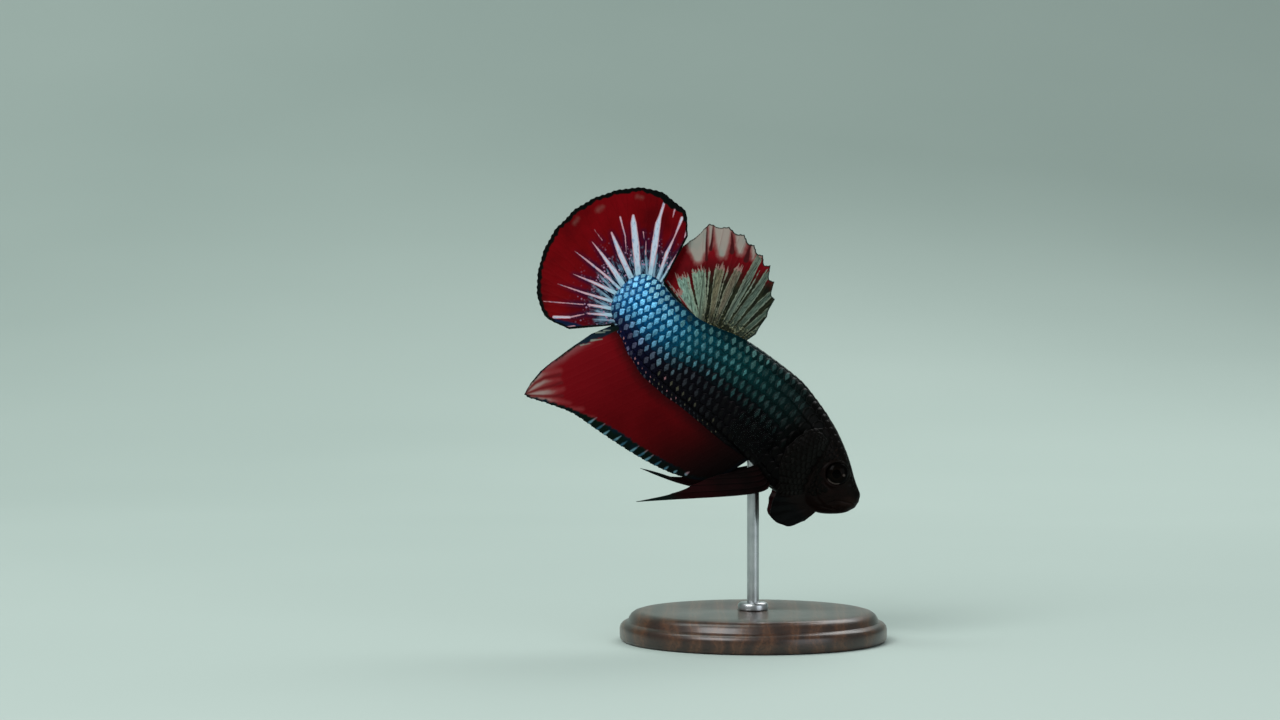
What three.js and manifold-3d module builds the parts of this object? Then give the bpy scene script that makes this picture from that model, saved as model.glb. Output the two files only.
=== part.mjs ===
// A male plakat betta, Betta splendens, life size, flaring: fins spread, gill
// covers open and throat membranes let down. It hangs head down on a round
// display stand. Millimetres, +Z up, origin at the centre of the stand's
// underside, snout towards +X, the fish's right side towards -Y.

import * as THREE from "three";
import { mergeVertices } from "three/addons/utils/BufferGeometryUtils.js";
import Module from "manifold-3d";

const wasm = await Module();
wasm.setup();

// The fish's own frame: "along" runs from the snout tip to the tail, "up" is
// square to it towards the back, "out" is sideways from the middle plane.
const NOSE_DOWN = 42.5; // degrees that the long axis pitches
const SNOUT_X = 15.9;
const SNOUT_Z = 20.7;
const BODY_LENGTH = 48.2; // snout tip to the end of the scaled tail base
const TAIL_SWING = 2.2; // how far the tail's end swings to the fish's left
const SWING_FROM = 16; // the bend starts this far along
const GAP = 0.3; // between neighbouring pieces

const SNOUT_ROUND = 1.0; // length of the rounding at the snout tip
const CHIN_FULLNESS = 3.6; // the lower lip is blunter than the upper one
const LOBE_FROM = 43.6; // the scaled lobe on the tail fin rounds off from here
const LOBE_FULLNESS = 2.4; // 2 is an ellipse, more is squarer
const BODY_STEPS = 34;
const BODY_SIDES = 24;

const JAW_BACK = 2.7; // where the jaws end and the head begins
const MOUTH_UP = -0.55; // the mouth's height at the lips
const MOUTH_SLOPE = 28; // degrees that the mouth slit falls towards the cheek
const HEAD_BACK = 10.2;
const TRUNK_MIDDLE = 25.5;
const PEDUNCLE_FRONT = 38.6;

const EYE_ALONG = 5.45;
const EYE_UP = 0.72;
const EYE_RADIUS = 1.6;
const EYE_FLATNESS = 0.72; // sideways radius as a share of the round one
const EYE_SUNK = 0.7; // centre below the cheek's surface

const FIN_ROOT = 0.9; // plate thickness of the upright fins at the root
const FIN_EDGE = 0.5;
const PAIRED_FIN = 0.5; // plate thickness of the paired fins
const GILL_PLATE = 0.6;
const GILL_SPLIT = 0.58; // share of the gill flap that is bony cover

const BASE_RADIUS = 20;
const BASE_HEIGHT = 4.5;
const ROD_RADIUS = 0.9;
const ROD_FOOT = 1.5; // underside of the rod in its bore in the base
const ROD_TOP = 26.5; // the rod's end, inside the belly
const COLLAR_RADIUS = 2.3;
const COLLAR_HEIGHT = 1.2;
const STAND_PLAY = 0.1; // play between the stand's pieces

// Smooth curve through rows of [place, value, value, ...] without overshoot.
function smooth(rows) {
  const slope = (i, k) => (rows[i + 1][k] - rows[i][k]) / (rows[i + 1][0] - rows[i][0]);
  const tangent = (i, k) => {
    if (i === 0) return slope(0, k);
    if (i === rows.length - 1) return slope(i - 1, k);
    const before = slope(i - 1, k);
    const after = slope(i, k);
    return before * after <= 0 ? 0 : (2 * before * after) / (before + after);
  };
  return (place) => {
    let i = 0;
    while (i < rows.length - 2 && place > rows[i + 1][0]) i += 1;
    const width = rows[i + 1][0] - rows[i][0];
    const t = THREE.MathUtils.clamp((place - rows[i][0]) / width, 0, 1);
    const values = [];
    for (let k = 1; k < rows[0].length; k += 1) {
      const turn = 3 * t * t - 2 * t * t * t;
      const start = t * (1 - t) * (1 - t) * width * tangent(i, k);
      const end = t * t * (t - 1) * width * tangent(i + 1, k);
      values.push(rows[i][k] * (1 - turn) + rows[i + 1][k] * turn + start + end);
    }
    return values.length === 1 ? values[0] : values;
  };
}

// Sideways bend of the whole fish.
function swing(along) {
  const t = Math.max(0, (along - SWING_FROM) / (BODY_LENGTH - SWING_FROM));
  return TAIL_SWING * t * t;
}

function inFish(along, up, out) {
  return new THREE.Vector3(-along, out + swing(along), up);
}

// The body's outline and girth along its length.
const backLine = smooth([
  [0, 0.75], [2.2, 1.8], [6.3, 4.2], [10.6, 6.0], [14.6, 7.05], [18.9, 7.65],
  [23.2, 7.35], [28.9, 6.6], [36.8, 4.2], [40.5, 4.0], [43.6, 4.4], [48.2, 5.0],
]);
const bellyLine = smooth([
  [0, -2.0], [1.3, -3.6], [3.6, -5.45], [8, -7.0], [12, -7.5], [17, -6.8],
  [36, -7.15], [40.5, -6.6], [43.6, -5.3], [48.2, -5.1],
]);
const halfWidth = smooth([
  [0, 1.25], [2.3, 2.2], [5.5, 2.95], [9, 3.45], [15, 3.85], [19, 3.75], [28.9, 3.0],
  [40.5, 1.9], [45, 1.35], [48.2, 0.95],
]);
const widestLevel = smooth([[0, -0.6], [5.5, -0.3], [20, -0.3], [37, -1.2], [43.6, -0.4], [48.2, -0.3]]);
const backRidge = smooth([[0, 0.8], [8, 0.85], [20, 1.0], [30, 1.25], [48.2, 1.3]]);
const bellyKeel = smooth([[0, 0.8], [10, 0.85], [17, 1.1], [24, 1.5], [42, 1.5], [48.2, 1.3]]);

// The body closes at the snout and at the end of the scaled tail base. A fullness of 2 is a round end.
function endRounding(along, fullness) {
  const snout = Math.max(0, (SNOUT_ROUND - along) / SNOUT_ROUND);
  const lobe = THREE.MathUtils.clamp((along - LOBE_FROM) / (BODY_LENGTH - LOBE_FROM), 0, 1);
  return (1 - snout ** fullness) ** (1 / fullness) * (1 - lobe ** LOBE_FULLNESS) ** (1 / LOBE_FULLNESS);
}

// The section at one place: half heights over and under the widest level.
function section(along) {
  const level = widestLevel(along);
  const round = endRounding(along, 2);
  return {
    level,
    over: (backLine(along) - level) * round,
    under: (level - bellyLine(along)) * endRounding(along, CHIN_FULLNESS),
    half: halfWidth(along) * round,
    ridge: backRidge(along),
    keel: bellyKeel(along),
  };
}

// How far the flank stands out from the middle plane at a place and height.
function flank(along, up) {
  const s = section(along);
  const share = up > s.level ? (up - s.level) / s.over : (s.level - up) / s.under;
  const round = Math.sqrt(Math.max(0, 1 - share * share));
  return s.half * round ** (up > s.level ? s.ridge : s.keel);
}

// A closed solid through rings of points, with flat ends.
function loft(rings) {
  const sides = rings[0].length;
  const points = rings.flat();
  const index = [];
  const at = (i, j) => i * sides + (j % sides);
  for (let i = 0; i + 1 < rings.length; i += 1) {
    for (let j = 0; j < sides; j += 1) {
      index.push(at(i, j), at(i, j + 1), at(i + 1, j + 1), at(i, j), at(i + 1, j + 1), at(i + 1, j));
    }
  }
  const middle = (ring) => ring.reduce((sum, p) => sum.add(p), new THREE.Vector3()).divideScalar(sides);
  const last = rings.length - 1;
  points.push(middle(rings[0]), middle(rings[last]));
  for (let j = 0; j < sides; j += 1) {
    index.push(points.length - 2, at(0, j + 1), at(0, j));
    index.push(points.length - 1, at(last, j), at(last, j + 1));
  }
  return new THREE.BufferGeometry().setFromPoints(points).setIndex(index);
}

// The whole body, grown on all sides by a margin.
function bodyLoft(margin) {
  const rings = [];
  for (let i = 0; i <= BODY_STEPS; i += 1) {
    const t = i / BODY_STEPS;
    const eased = 0.45 * t + 0.55 * (1 - Math.cos(Math.PI * t)) * 0.5;
    const along = 0.04 + (BODY_LENGTH - 0.1) * eased;
    const s = section(along);
    const ring = [];
    for (let j = 0; j < BODY_SIDES; j += 1) {
      const turn = (2 * Math.PI * j) / BODY_SIDES;
      const height = Math.cos(turn);
      const power = height > 0 ? s.ridge : s.keel;
      const out = Math.sign(Math.sin(turn)) * (s.half + margin) * Math.abs(Math.sin(turn)) ** power;
      const up = s.level + height * ((height > 0 ? s.over : s.under) + margin);
      ring.push(inFish(along + margin * (2 * t - 1), up, out));
    }
    rings.push(ring);
  }
  return loft(rings);
}

// A curved sheet of some thickness over point(u, v), u and v from 0 to 1.
function sheet(columns, rows, point, thickness) {
  const faces = [[], []];
  const step = 1e-3;
  for (let i = 0; i <= columns; i += 1) {
    for (let j = 0; j <= rows; j += 1) {
      const u = i / columns;
      const v = j / rows;
      const here = point(u, v);
      const du = point(Math.min(1, u + step), v).sub(point(Math.max(0, u - step), v));
      const dv = point(u, Math.min(1, v + step)).sub(point(u, Math.max(0, v - step)));
      const half = du.cross(dv).normalize().multiplyScalar(thickness(u, v) / 2);
      faces[0].push(here.clone().add(half));
      faces[1].push(here.clone().sub(half));
    }
  }
  const count = faces[0].length;
  const index = [];
  const at = (i, j) => i * (rows + 1) + j;
  const quad = (a, b, c, d) => index.push(a, b, c, a, c, d);
  for (let i = 0; i < columns; i += 1) {
    for (let j = 0; j < rows; j += 1) {
      quad(at(i, j), at(i + 1, j), at(i + 1, j + 1), at(i, j + 1));
      quad(count + at(i, j), count + at(i, j + 1), count + at(i + 1, j + 1), count + at(i + 1, j));
    }
  }
  const rim = [];
  for (let i = 0; i < columns; i += 1) rim.push(at(i, 0));
  for (let j = 0; j < rows; j += 1) rim.push(at(columns, j));
  for (let i = columns; i > 0; i -= 1) rim.push(at(i, rows));
  for (let j = rows; j > 0; j -= 1) rim.push(at(0, j));
  rim.forEach((a, k) => {
    const b = rim[(k + 1) % rim.length];
    quad(b, a, count + a, count + b);
  });
  return new THREE.BufferGeometry().setFromPoints(faces.flat()).setIndex(index);
}

// Joins and cuts.
function solid(geometry) {
  const bare = new THREE.BufferGeometry();
  bare.setAttribute("position", geometry.getAttribute("position"));
  bare.setIndex(geometry.index);
  const merged = mergeVertices(bare, 1e-4);
  const made = new wasm.Manifold(
    new wasm.Mesh({
      numProp: 3,
      vertProperties: merged.attributes.position.array,
      triVerts: new Uint32Array(merged.index.array),
    }),
  );
  if (made.volume() > 0) return made;
  return solid(turnedInsideOut(merged));
}

function turnedInsideOut(geometry) {
  const index = Array.from(geometry.index.array);
  for (let i = 0; i < index.length; i += 3) {
    [index[i + 1], index[i + 2]] = [index[i + 2], index[i + 1]];
  }
  return geometry.clone().setIndex(index);
}

function geometryOf(made) {
  const { vertProperties, triVerts } = made.getMesh();
  const geometry = new THREE.BufferGeometry();
  geometry.setAttribute("position", new THREE.BufferAttribute(vertProperties, 3));
  geometry.setIndex(new THREE.BufferAttribute(triVerts, 1));
  geometry.computeVertexNormals();
  return geometry;
}

function largest(made) {
  return made.decompose().reduce((best, part) => (part.volume() > best.volume() ? part : best));
}

// The part of a solid between two places along the fish.
function between(made, from, to) {
  const block = new THREE.BoxGeometry(to - from, 60, 60);
  block.translate(-(from + to) / 2, 0, 0);
  return made.intersect(solid(block));
}

// One side of the mouth slit: a block whose face lies along the slit.
function mouthBlock(side) {
  const block = new THREE.BoxGeometry(20, 20, 10);
  block.translate(0, 0, side * (5 + GAP / 2));
  block.rotateY(-THREE.MathUtils.degToRad(MOUTH_SLOPE));
  block.translate(0, 0, MOUTH_UP);
  return solid(block);
}

function eyeball(side, margin) {
  const ball = new THREE.SphereGeometry(EYE_RADIUS + margin, 14, 9);
  ball.rotateX(Math.PI / 2);
  ball.scale(1, (EYE_RADIUS * EYE_FLATNESS + margin) / (EYE_RADIUS + margin), 1);
  const out = flank(EYE_ALONG, EYE_UP) - EYE_SUNK;
  const place = inFish(EYE_ALONG, EYE_UP, side * out);
  ball.translate(place.x, place.y, place.z);
  return ball;
}

// The rod runs upright while the fish is pitched, so it is turned back into
// the fish's frame to bore its socket in the belly.
const fish = new THREE.Group();
fish.position.set(SNOUT_X, 0, SNOUT_Z);
fish.rotation.y = THREE.MathUtils.degToRad(NOSE_DOWN);
fish.updateMatrixWorld(true);

function rod(radius, from, to) {
  const made = new THREE.CylinderGeometry(radius, radius, to - from, 16);
  made.rotateX(Math.PI / 2);
  made.translate(0, 0, (from + to) / 2);
  return made;
}

const body = solid(bodyLoft(0));
const clearBody = solid(bodyLoft(GAP));
const intoFish = fish.matrixWorld.clone().invert();
const socket = solid(rod(ROD_RADIUS + GAP, SNOUT_Z, ROD_TOP + GAP).applyMatrix4(intoFish));

// Skin colours, roughness and metalness.
const flesh = (color) => new THREE.MeshStandardMaterial({ color, roughness: 0.45, metalness: 0.15 });
const finish = {
  head: flesh(0x17110f),
  trunkFront: flesh(0x1c3335),
  trunkRear: flesh(0x2a6f74),
  peduncle: flesh(0x4aa0d0),
  dorsal: flesh(0x8a9a8e),
  caudal: flesh(0x6b0a12),
  anal: flesh(0x5a0a0e),
  paired: flesh(0x2a0d10),
  clear: flesh(0x9a948a),
  eye: new THREE.MeshStandardMaterial({ color: 0x0b0a09, roughness: 0.08, metalness: 0 }),
  wood: new THREE.MeshStandardMaterial({ color: 0x5a3a24, roughness: 0.5, metalness: 0 }),
  steel: new THREE.MeshStandardMaterial({ color: 0xb4b6b8, roughness: 0.3, metalness: 1 }),
};

function add(group, name, made, material) {
  const mesh = new THREE.Mesh(made.isBufferGeometry ? made : geometryOf(made), material);
  mesh.name = name;
  group.add(mesh);
}

const SIDES = [["left", 1], ["right", -1]];

// Body, parted by thin cuts square to its axis.
function addBody() {
  const half = GAP / 2;
  let head = between(body, JAW_BACK + half, HEAD_BACK - half);
  for (const [, side] of SIDES) head = head.subtract(solid(eyeball(side, GAP)));
  const jaws = between(body, -5, JAW_BACK - half);
  add(fish, "head", largest(head), finish.head);
  add(fish, "upper_jaw", largest(jaws.intersect(mouthBlock(1))), finish.head);
  add(fish, "lower_jaw", largest(jaws.intersect(mouthBlock(-1))), finish.head);
  const front = between(body, HEAD_BACK + half, TRUNK_MIDDLE - half).subtract(socket);
  add(fish, "trunk_front", largest(front), finish.trunkFront);
  add(fish, "trunk_rear", between(body, TRUNK_MIDDLE + half, PEDUNCLE_FRONT - half), finish.trunkRear);
  add(fish, "tail_peduncle", between(body, PEDUNCLE_FRONT + half, BODY_LENGTH + 5), finish.peduncle);
}

function addEyes() {
  for (const [name, side] of SIDES) {
    add(fish, `eye_${name}`, eyeball(side, 0), finish.eye);
  }
}

// Gill flap, one per side: the bony cover swings out from its hinge on the
// cheek, and the throat membrane below it hangs as a dark beard. Hinge and
// free edge run from the nape down to the middle of the throat.
const gillHinge = smooth([
  [0, 9.6, 3.6], [0.25, 8.7, 1.4], [0.45, 8.2, -1.4], [0.65, 7.2, -4.2], [0.82, 5.6, -5.3], [1, 3.9, -5.0],
]);
const gillEdge = smooth([
  [0, 11.9, 4.3, 3.5], [0.12, 13.3, 2.6, 5.6], [0.3, 14.0, -0.8, 7.0], [0.46, 13.0, -4.2, 7.0],
  [0.58, 11.0, -6.4, 6.1], [0.7, 9.9, -9.0, 4.7], [0.8, 8.3, -10.75, 3.4], [0.9, 5.9, -10.2, 1.9],
  [1, 4.2, -7.7, 0.65],
]);

function gillPoint(side, share, reach) {
  const [hingeAlong, hingeUp] = gillHinge(share);
  const [edgeAlong, edgeUp, edgeOut] = gillEdge(share);
  const hingeOut = Math.max(0.5, flank(hingeAlong, hingeUp) - 0.5);
  const bulge = 0.9 * Math.sin(Math.PI * reach) * Math.sin(Math.PI * Math.min(1, share * 1.15 + 0.1));
  return inFish(
    THREE.MathUtils.lerp(hingeAlong, edgeAlong, reach),
    THREE.MathUtils.lerp(hingeUp, edgeUp, reach),
    side * (THREE.MathUtils.lerp(hingeOut, edgeOut, reach) + bulge),
  );
}

function addGillFlaps() {
  const pieces = [["operculum", 0, GILL_SPLIT - 0.012, 9], ["gill_beard", GILL_SPLIT + 0.012, 1, 10]];
  for (const [name, side] of SIDES) {
    for (const [piece, from, to, columns] of pieces) {
      const point = (u, v) => gillPoint(side, THREE.MathUtils.lerp(from, to, u), v);
      const flap = solid(sheet(columns, 5, point, () => GILL_PLATE)).subtract(clearBody);
      add(fish, `${piece}_${name}`, largest(flap), finish.head);
    }
  }
}

// Fins. Rays run from a root line in the body to a tip line, and the edge is
// drawn in between each two rays. Lines are rows of [share, along, up, out].
function fin({ root, tip, rays, perRay, steps, notch, thickness, wave, side = 1, bow = () => 0 }) {
  const rootAt = smooth(root);
  const tipAt = smooth(tip);
  const point = (u, v) => {
    const from = rootAt(u);
    const to = tipAt(u);
    const reach = v * (1 - notch * Math.abs(Math.sin(Math.PI * u * (rays - 1))) * v * v);
    const [along, up, out] = from.map((value, k) => THREE.MathUtils.lerp(value, to[k], reach));
    const forward = bow(u, v);
    return inFish(along - forward, up - forward, side * (out + wave(u, v)));
  };
  const plate = (u, v) => THREE.MathUtils.lerp(thickness[0], thickness[1], v);
  return largest(solid(sheet((rays - 1) * perRay, steps, point, plate)).subtract(clearBody));
}

// Tail fin: a half moon about a centre in the scaled lobe, lowest ray first.
const TAIL_CENTRE = [47.1, 0.95];
const TAIL_FAN = 14.3;
const TAIL_FROM = -74; // degrees of the tip line about the centre
const TAIL_TO = 96;
const TAIL_KNOTS = 12;

function tailTips() {
  const rows = [];
  for (let i = 0; i <= TAIL_KNOTS; i += 1) {
    const angle = THREE.MathUtils.lerp(TAIL_FROM, TAIL_TO, i / TAIL_KNOTS);
    const lowCorner = 0.004 * Math.max(0, -angle - 50) ** 2;
    const highCorner = 0.0055 * Math.max(0, angle - 72) ** 2;
    const crown = 0.5 * Math.exp(-(((angle - 56) / 18) ** 2));
    const radius = TAIL_FAN + crown - lowCorner - highCorner;
    const turn = THREE.MathUtils.degToRad(angle);
    const [along, up] = TAIL_CENTRE;
    rows.push([i / TAIL_KNOTS, along + radius * Math.cos(turn), up + radius * Math.sin(turn), 0]);
  }
  return rows;
}

const uprightPlate = [FIN_ROOT, FIN_EDGE];
const caudal = {
  root: [
    [0, 44.6, -4.2, 0], [0.2, 45.8, -3.6, 0], [0.4, 46.9, -1.8, 0], [0.5, 47.2, -0.2, 0],
    [0.62, 46.9, 1.6, 0], [0.8, 45.4, 3.4, 0], [1, 43.6, 3.8, 0],
  ],
  tip: tailTips(),
  rays: 13,
  perRay: 2,
  steps: 4,
  notch: 0.02,
  thickness: uprightPlate,
  wave: (u, v) => 1.1 * v * v * Math.sin(2.4 * Math.PI * u + 0.4) - 0.9 * u * u * v,
};

const dorsal = {
  root: [[0, 28.9, 6.0, 0], [1, 36.4, 3.4, 0]],
  tip: [
    [0, 28.4, 7.9, 0], [0.09, 28.9, 10.9, 0], [0.18, 29.9, 14.0, 0], [0.27, 31.3, 15.4, 0],
    [0.36, 33.2, 17.2, 0], [0.5, 36.6, 17.9, 0], [0.64, 39.9, 18.2, 0], [0.73, 42.4, 17.5, 0],
    [0.82, 44.9, 15.8, 0], [0.91, 45.5, 10.6, 0], [1, 44.3, 5.3, 0],
  ],
  rays: 12,
  perRay: 3,
  steps: 4,
  notch: 0.055,
  thickness: uprightPlate,
  wave: (u, v) => 0.5 * v * Math.sin(5 * u) + 1.9 * u * u * v,
};

const anal = {
  root: [
    [0, 16.4, -6.2, 0], [0.35, 26, -6.3, 0], [0.7, 36.5, -6.5, 0], [0.86, 40.5, -6.0, 0],
    [1, 43.2, -4.7, 0],
  ],
  tip: [
    [0, 18.2, -9.9, 0], [0.1, 22.4, -14.2, 0], [0.2, 25.5, -16.5, 0], [0.34, 29.6, -17.6, 0],
    [0.5, 35.4, -18.6, 0], [0.64, 40.4, -19.3, 0], [0.76, 44.6, -20.9, 0], [0.86, 47.9, -22.3, 0],
    [0.9, 48.6, -19.6, 0], [0.95, 47.8, -15.2, 0], [1, 46.9, -9.9, 0],
  ],
  rays: 25,
  perRay: 2,
  steps: 3,
  notch: 0.02,
  thickness: uprightPlate,
  wave: (u, v) => 0.7 * v * Math.sin(5.5 * u + 0.6) + 0.8 * u * v,
};

const pairedPlate = [PAIRED_FIN, PAIRED_FIN];

// Pelvic fins: a long first ray that bows forward, and shorter ones behind it.
const pelvic = {
  root: [[0, 12.0, -6.6, 1.3], [1, 15.2, -6.2, 1.5]],
  rays: 6,
  perRay: 2,
  steps: 5,
  notch: 0.03,
  thickness: pairedPlate,
  wave: () => 0,
};
const pelvics = {
  right: {
    tip: [
      [0, 24.8, -22.4, 3.6], [0.2, 21.7, -17.9, 3.5], [0.4, 20.4, -15.1, 3.3], [0.7, 18.9, -12.0, 3.0],
      [1, 17.1, -9.6, 2.6],
    ],
    bow: (u, v) => 1.0 * (1 - u) * Math.sin(Math.PI * Math.sqrt(v)),
  },
  left: {
    tip: [
      [0, 27.5, -18.6, 4.4], [0.2, 23.5, -16.6, 4.2], [0.4, 21.4, -14.6, 3.8], [0.7, 19.2, -11.6, 3.3],
      [1, 17.2, -9.2, 2.7],
    ],
    bow: (u, v) => 1.5 * (1 - u) * Math.sin(Math.PI * v),
  },
};

// Pectoral fins: clear rounded fans held back along the flanks.
const pectoral = {
  root: [[0, 14.4, -1.0, 3.3], [1, 14.8, -3.7, 3.2]],
  tip: [
    [0, 20.3, 0.4, 5.6], [0.25, 22.4, -1.4, 6.3], [0.5, 22.7, -3.7, 6.4], [0.75, 21.4, -5.7, 6.0],
    [1, 19.0, -6.5, 5.2],
  ],
  rays: 12,
  perRay: 1,
  steps: 5,
  notch: 0.03,
  thickness: pairedPlate,
  wave: (u, v) => 0.6 * Math.sin(Math.PI * u) * v,
};

function addFins() {
  add(fish, "caudal_fin", fin(caudal), finish.caudal);
  add(fish, "dorsal_fin", fin(dorsal), finish.dorsal);
  add(fish, "anal_fin", fin(anal), finish.anal);
  for (const [name, side] of SIDES) {
    add(fish, `pelvic_fin_${name}`, fin({ ...pelvic, ...pelvics[name], side }), finish.paired);
    add(fish, `pectoral_fin_${name}`, fin({ ...pectoral, side }), finish.clear);
  }
}

// Stand: a turned wooden base with a steel rod in a collar.
function turned(profile, segments) {
  const line = profile.map(([r, z]) => new THREE.Vector2(r, z));
  return new THREE.LatheGeometry(line, segments).rotateX(Math.PI / 2);
}

function addStand(group) {
  const bore = ROD_RADIUS + STAND_PLAY;
  const base = turned(
    [
      [0, 0], [BASE_RADIUS - 0.6, 0], [BASE_RADIUS, 0.6], [BASE_RADIUS, 2.2], [BASE_RADIUS - 0.5, 2.9],
      [BASE_RADIUS - 1.3, 3.2], [BASE_RADIUS - 1.7, 4.0], [BASE_RADIUS - 2.6, BASE_HEIGHT],
      [bore, BASE_HEIGHT], [bore, ROD_FOOT - STAND_PLAY], [0, ROD_FOOT - STAND_PLAY],
    ],
    32,
  );
  const collarFoot = BASE_HEIGHT + STAND_PLAY;
  const collarTop = collarFoot + COLLAR_HEIGHT;
  const collar = turned(
    [
      [bore, collarFoot], [COLLAR_RADIUS, collarFoot], [COLLAR_RADIUS, collarTop - 0.4],
      [COLLAR_RADIUS - 0.4, collarTop], [bore, collarTop], [bore, collarFoot],
    ],
    16,
  );
  add(group, "stand_base", geometryOf(solid(base)), finish.wood);
  add(group, "stand_collar", geometryOf(solid(collar)), finish.steel);
  add(group, "stand_rod", rod(ROD_RADIUS, ROD_FOOT, ROD_TOP), finish.steel);
}

const model = new THREE.Group();
addBody();
addEyes();
addGillFlaps();
addFins();
model.add(fish);
addStand(model);

export default model;
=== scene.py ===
import math

import bmesh
import bpy
import numpy as np
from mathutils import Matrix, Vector
from mathutils.bvhtree import BVHTree


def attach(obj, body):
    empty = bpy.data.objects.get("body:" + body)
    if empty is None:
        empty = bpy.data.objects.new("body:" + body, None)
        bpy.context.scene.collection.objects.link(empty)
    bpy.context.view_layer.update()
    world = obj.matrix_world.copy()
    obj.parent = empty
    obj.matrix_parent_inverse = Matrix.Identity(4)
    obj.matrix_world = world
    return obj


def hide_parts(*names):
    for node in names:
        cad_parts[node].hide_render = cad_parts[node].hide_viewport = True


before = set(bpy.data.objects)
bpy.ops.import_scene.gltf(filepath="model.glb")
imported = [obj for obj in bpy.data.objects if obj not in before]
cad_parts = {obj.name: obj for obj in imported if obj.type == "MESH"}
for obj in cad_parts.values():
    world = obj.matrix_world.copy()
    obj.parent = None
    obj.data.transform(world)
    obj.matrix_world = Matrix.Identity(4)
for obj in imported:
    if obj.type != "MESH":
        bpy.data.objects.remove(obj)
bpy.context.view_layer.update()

rng = np.random.default_rng(7)

# ---------------------------------------------------------------------------
# Stand base: a flat turned disc of walnut under satin lacquer, with a small
# ogee worked on its rim. The foot is flat, and the rod is let into a bore in
# its middle.
# ---------------------------------------------------------------------------
BASE_RADIUS = 20.0  # mm, as every size in this file
BASE_HEIGHT = 4.5
ROD_RADIUS = 0.9
ROD_FOOT = 1.5
ROD_TOP = 27.6
MM = 0.001


def linear(hex_colour, alpha=1.0):
    """An sRGB hex colour as the linear RGBA that a shader takes."""
    values = [int(hex_colour[i:i + 2], 16) / 255 for i in (1, 3, 5)]
    toned = [v / 12.92 if v <= 0.04045 else ((v + 0.055) / 1.055) ** 2.4 for v in values]
    return (*toned, alpha)


def node(tree, kind, settings=None, links=None):
    """Adds one shader node. Settings go by name and sockets by name or number, as a value or an output."""
    made = tree.nodes.new(kind)
    for name, value in (settings or {}).items():
        setattr(made, name, value)
    for key, value in (links or {}).items():
        socket = made.inputs[key]
        if isinstance(value, bpy.types.NodeSocket):
            tree.links.new(value, socket)
        else:
            socket.default_value = value
    return made


def ramp(tree, factor, stops, smooth=False):
    """A colour ramp node over stops of (place, hex colour or grey); gives its colour output."""
    made = node(tree, "ShaderNodeValToRGB", None, {"Fac": factor})
    band = made.color_ramp
    band.interpolation = "EASE" if smooth else "LINEAR"
    while len(band.elements) < len(stops):
        band.elements.new(0.5)
    for element, (place, colour) in zip(band.elements, stops):
        element.position = place
        element.color = linear(colour) if isinstance(colour, str) else (colour, colour, colour, 1)
    return made.outputs["Color"]


def finish_material(name, base, roughness, bump=None, **shader):
    """A material of one Principled shader. base and roughness are functions of the node tree, and bump is
    (such a function for its height, its depth in mm)."""
    material = bpy.data.materials.new(name)
    material.use_nodes = True
    tree = material.node_tree
    tree.nodes.clear()
    out = node(tree, "ShaderNodeOutputMaterial")
    body = node(tree, "ShaderNodeBsdfPrincipled")
    tree.links.new(body.outputs[0], out.inputs["Surface"])
    for socket, value in {"Base Color": base(tree), "Roughness": roughness(tree)}.items():
        if isinstance(value, bpy.types.NodeSocket):
            tree.links.new(value, body.inputs[socket])
        else:
            body.inputs[socket].default_value = value
    if bump:
        height, depth = bump
        raised = node(
            tree, "ShaderNodeBump", None, {"Height": height(tree), "Strength": 1.0, "Distance": depth * MM}
        )
        tree.links.new(raised.outputs[0], body.inputs["Normal"])
    for socket, value in shader.items():
        body.inputs[socket.replace("_", " ")].default_value = value
    return material


def object_place(tree, scale=(1, 1, 1), turn=(0, 0, 0)):
    """Object coordinates through a Mapping node."""
    place = node(tree, "ShaderNodeTexCoord")
    return node(
        tree, "ShaderNodeMapping", None, {"Vector": place.outputs["Object"], "Scale": scale, "Rotation": turn}
    ).outputs[0]


def noise(tree, vector, scale, detail=3.0, rough=0.5, distortion=0.0):
    """A noise texture; gives its grey output. scale is in cells per metre."""
    return node(
        tree,
        "ShaderNodeTexNoise",
        None,
        {"Vector": vector, "Scale": scale, "Detail": detail, "Roughness": rough, "Distortion": distortion},
    ).outputs["Fac"]


def turned_piece(name, profile, segments):
    """Spins a given profile (radius, height) about the upright axis, as on a lathe."""
    bpy.ops.object.select_all(action="DESELECT")
    bpy.ops.mesh.primitive_plane_add(size=0.001)
    piece = bpy.context.object
    piece.name = piece.data.name = name
    piece.data.clear_geometry()
    line = [(radius * MM, 0, height * MM) for radius, height in profile]
    piece.data.from_pydata(line, [(i, i + 1) for i in range(len(line) - 1)], [])
    bpy.ops.object.mode_set(mode="EDIT")
    bpy.ops.mesh.select_all(action="SELECT")
    bpy.ops.mesh.spin(steps=segments, angle=2 * math.pi, center=(0, 0, 0), axis=(0, 0, 1))
    bpy.ops.mesh.select_all(action="SELECT")
    bpy.ops.mesh.remove_doubles(threshold=1e-6)
    bpy.ops.mesh.normals_make_consistent(inside=False)
    bpy.ops.object.mode_set(mode="OBJECT")
    return piece


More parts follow.
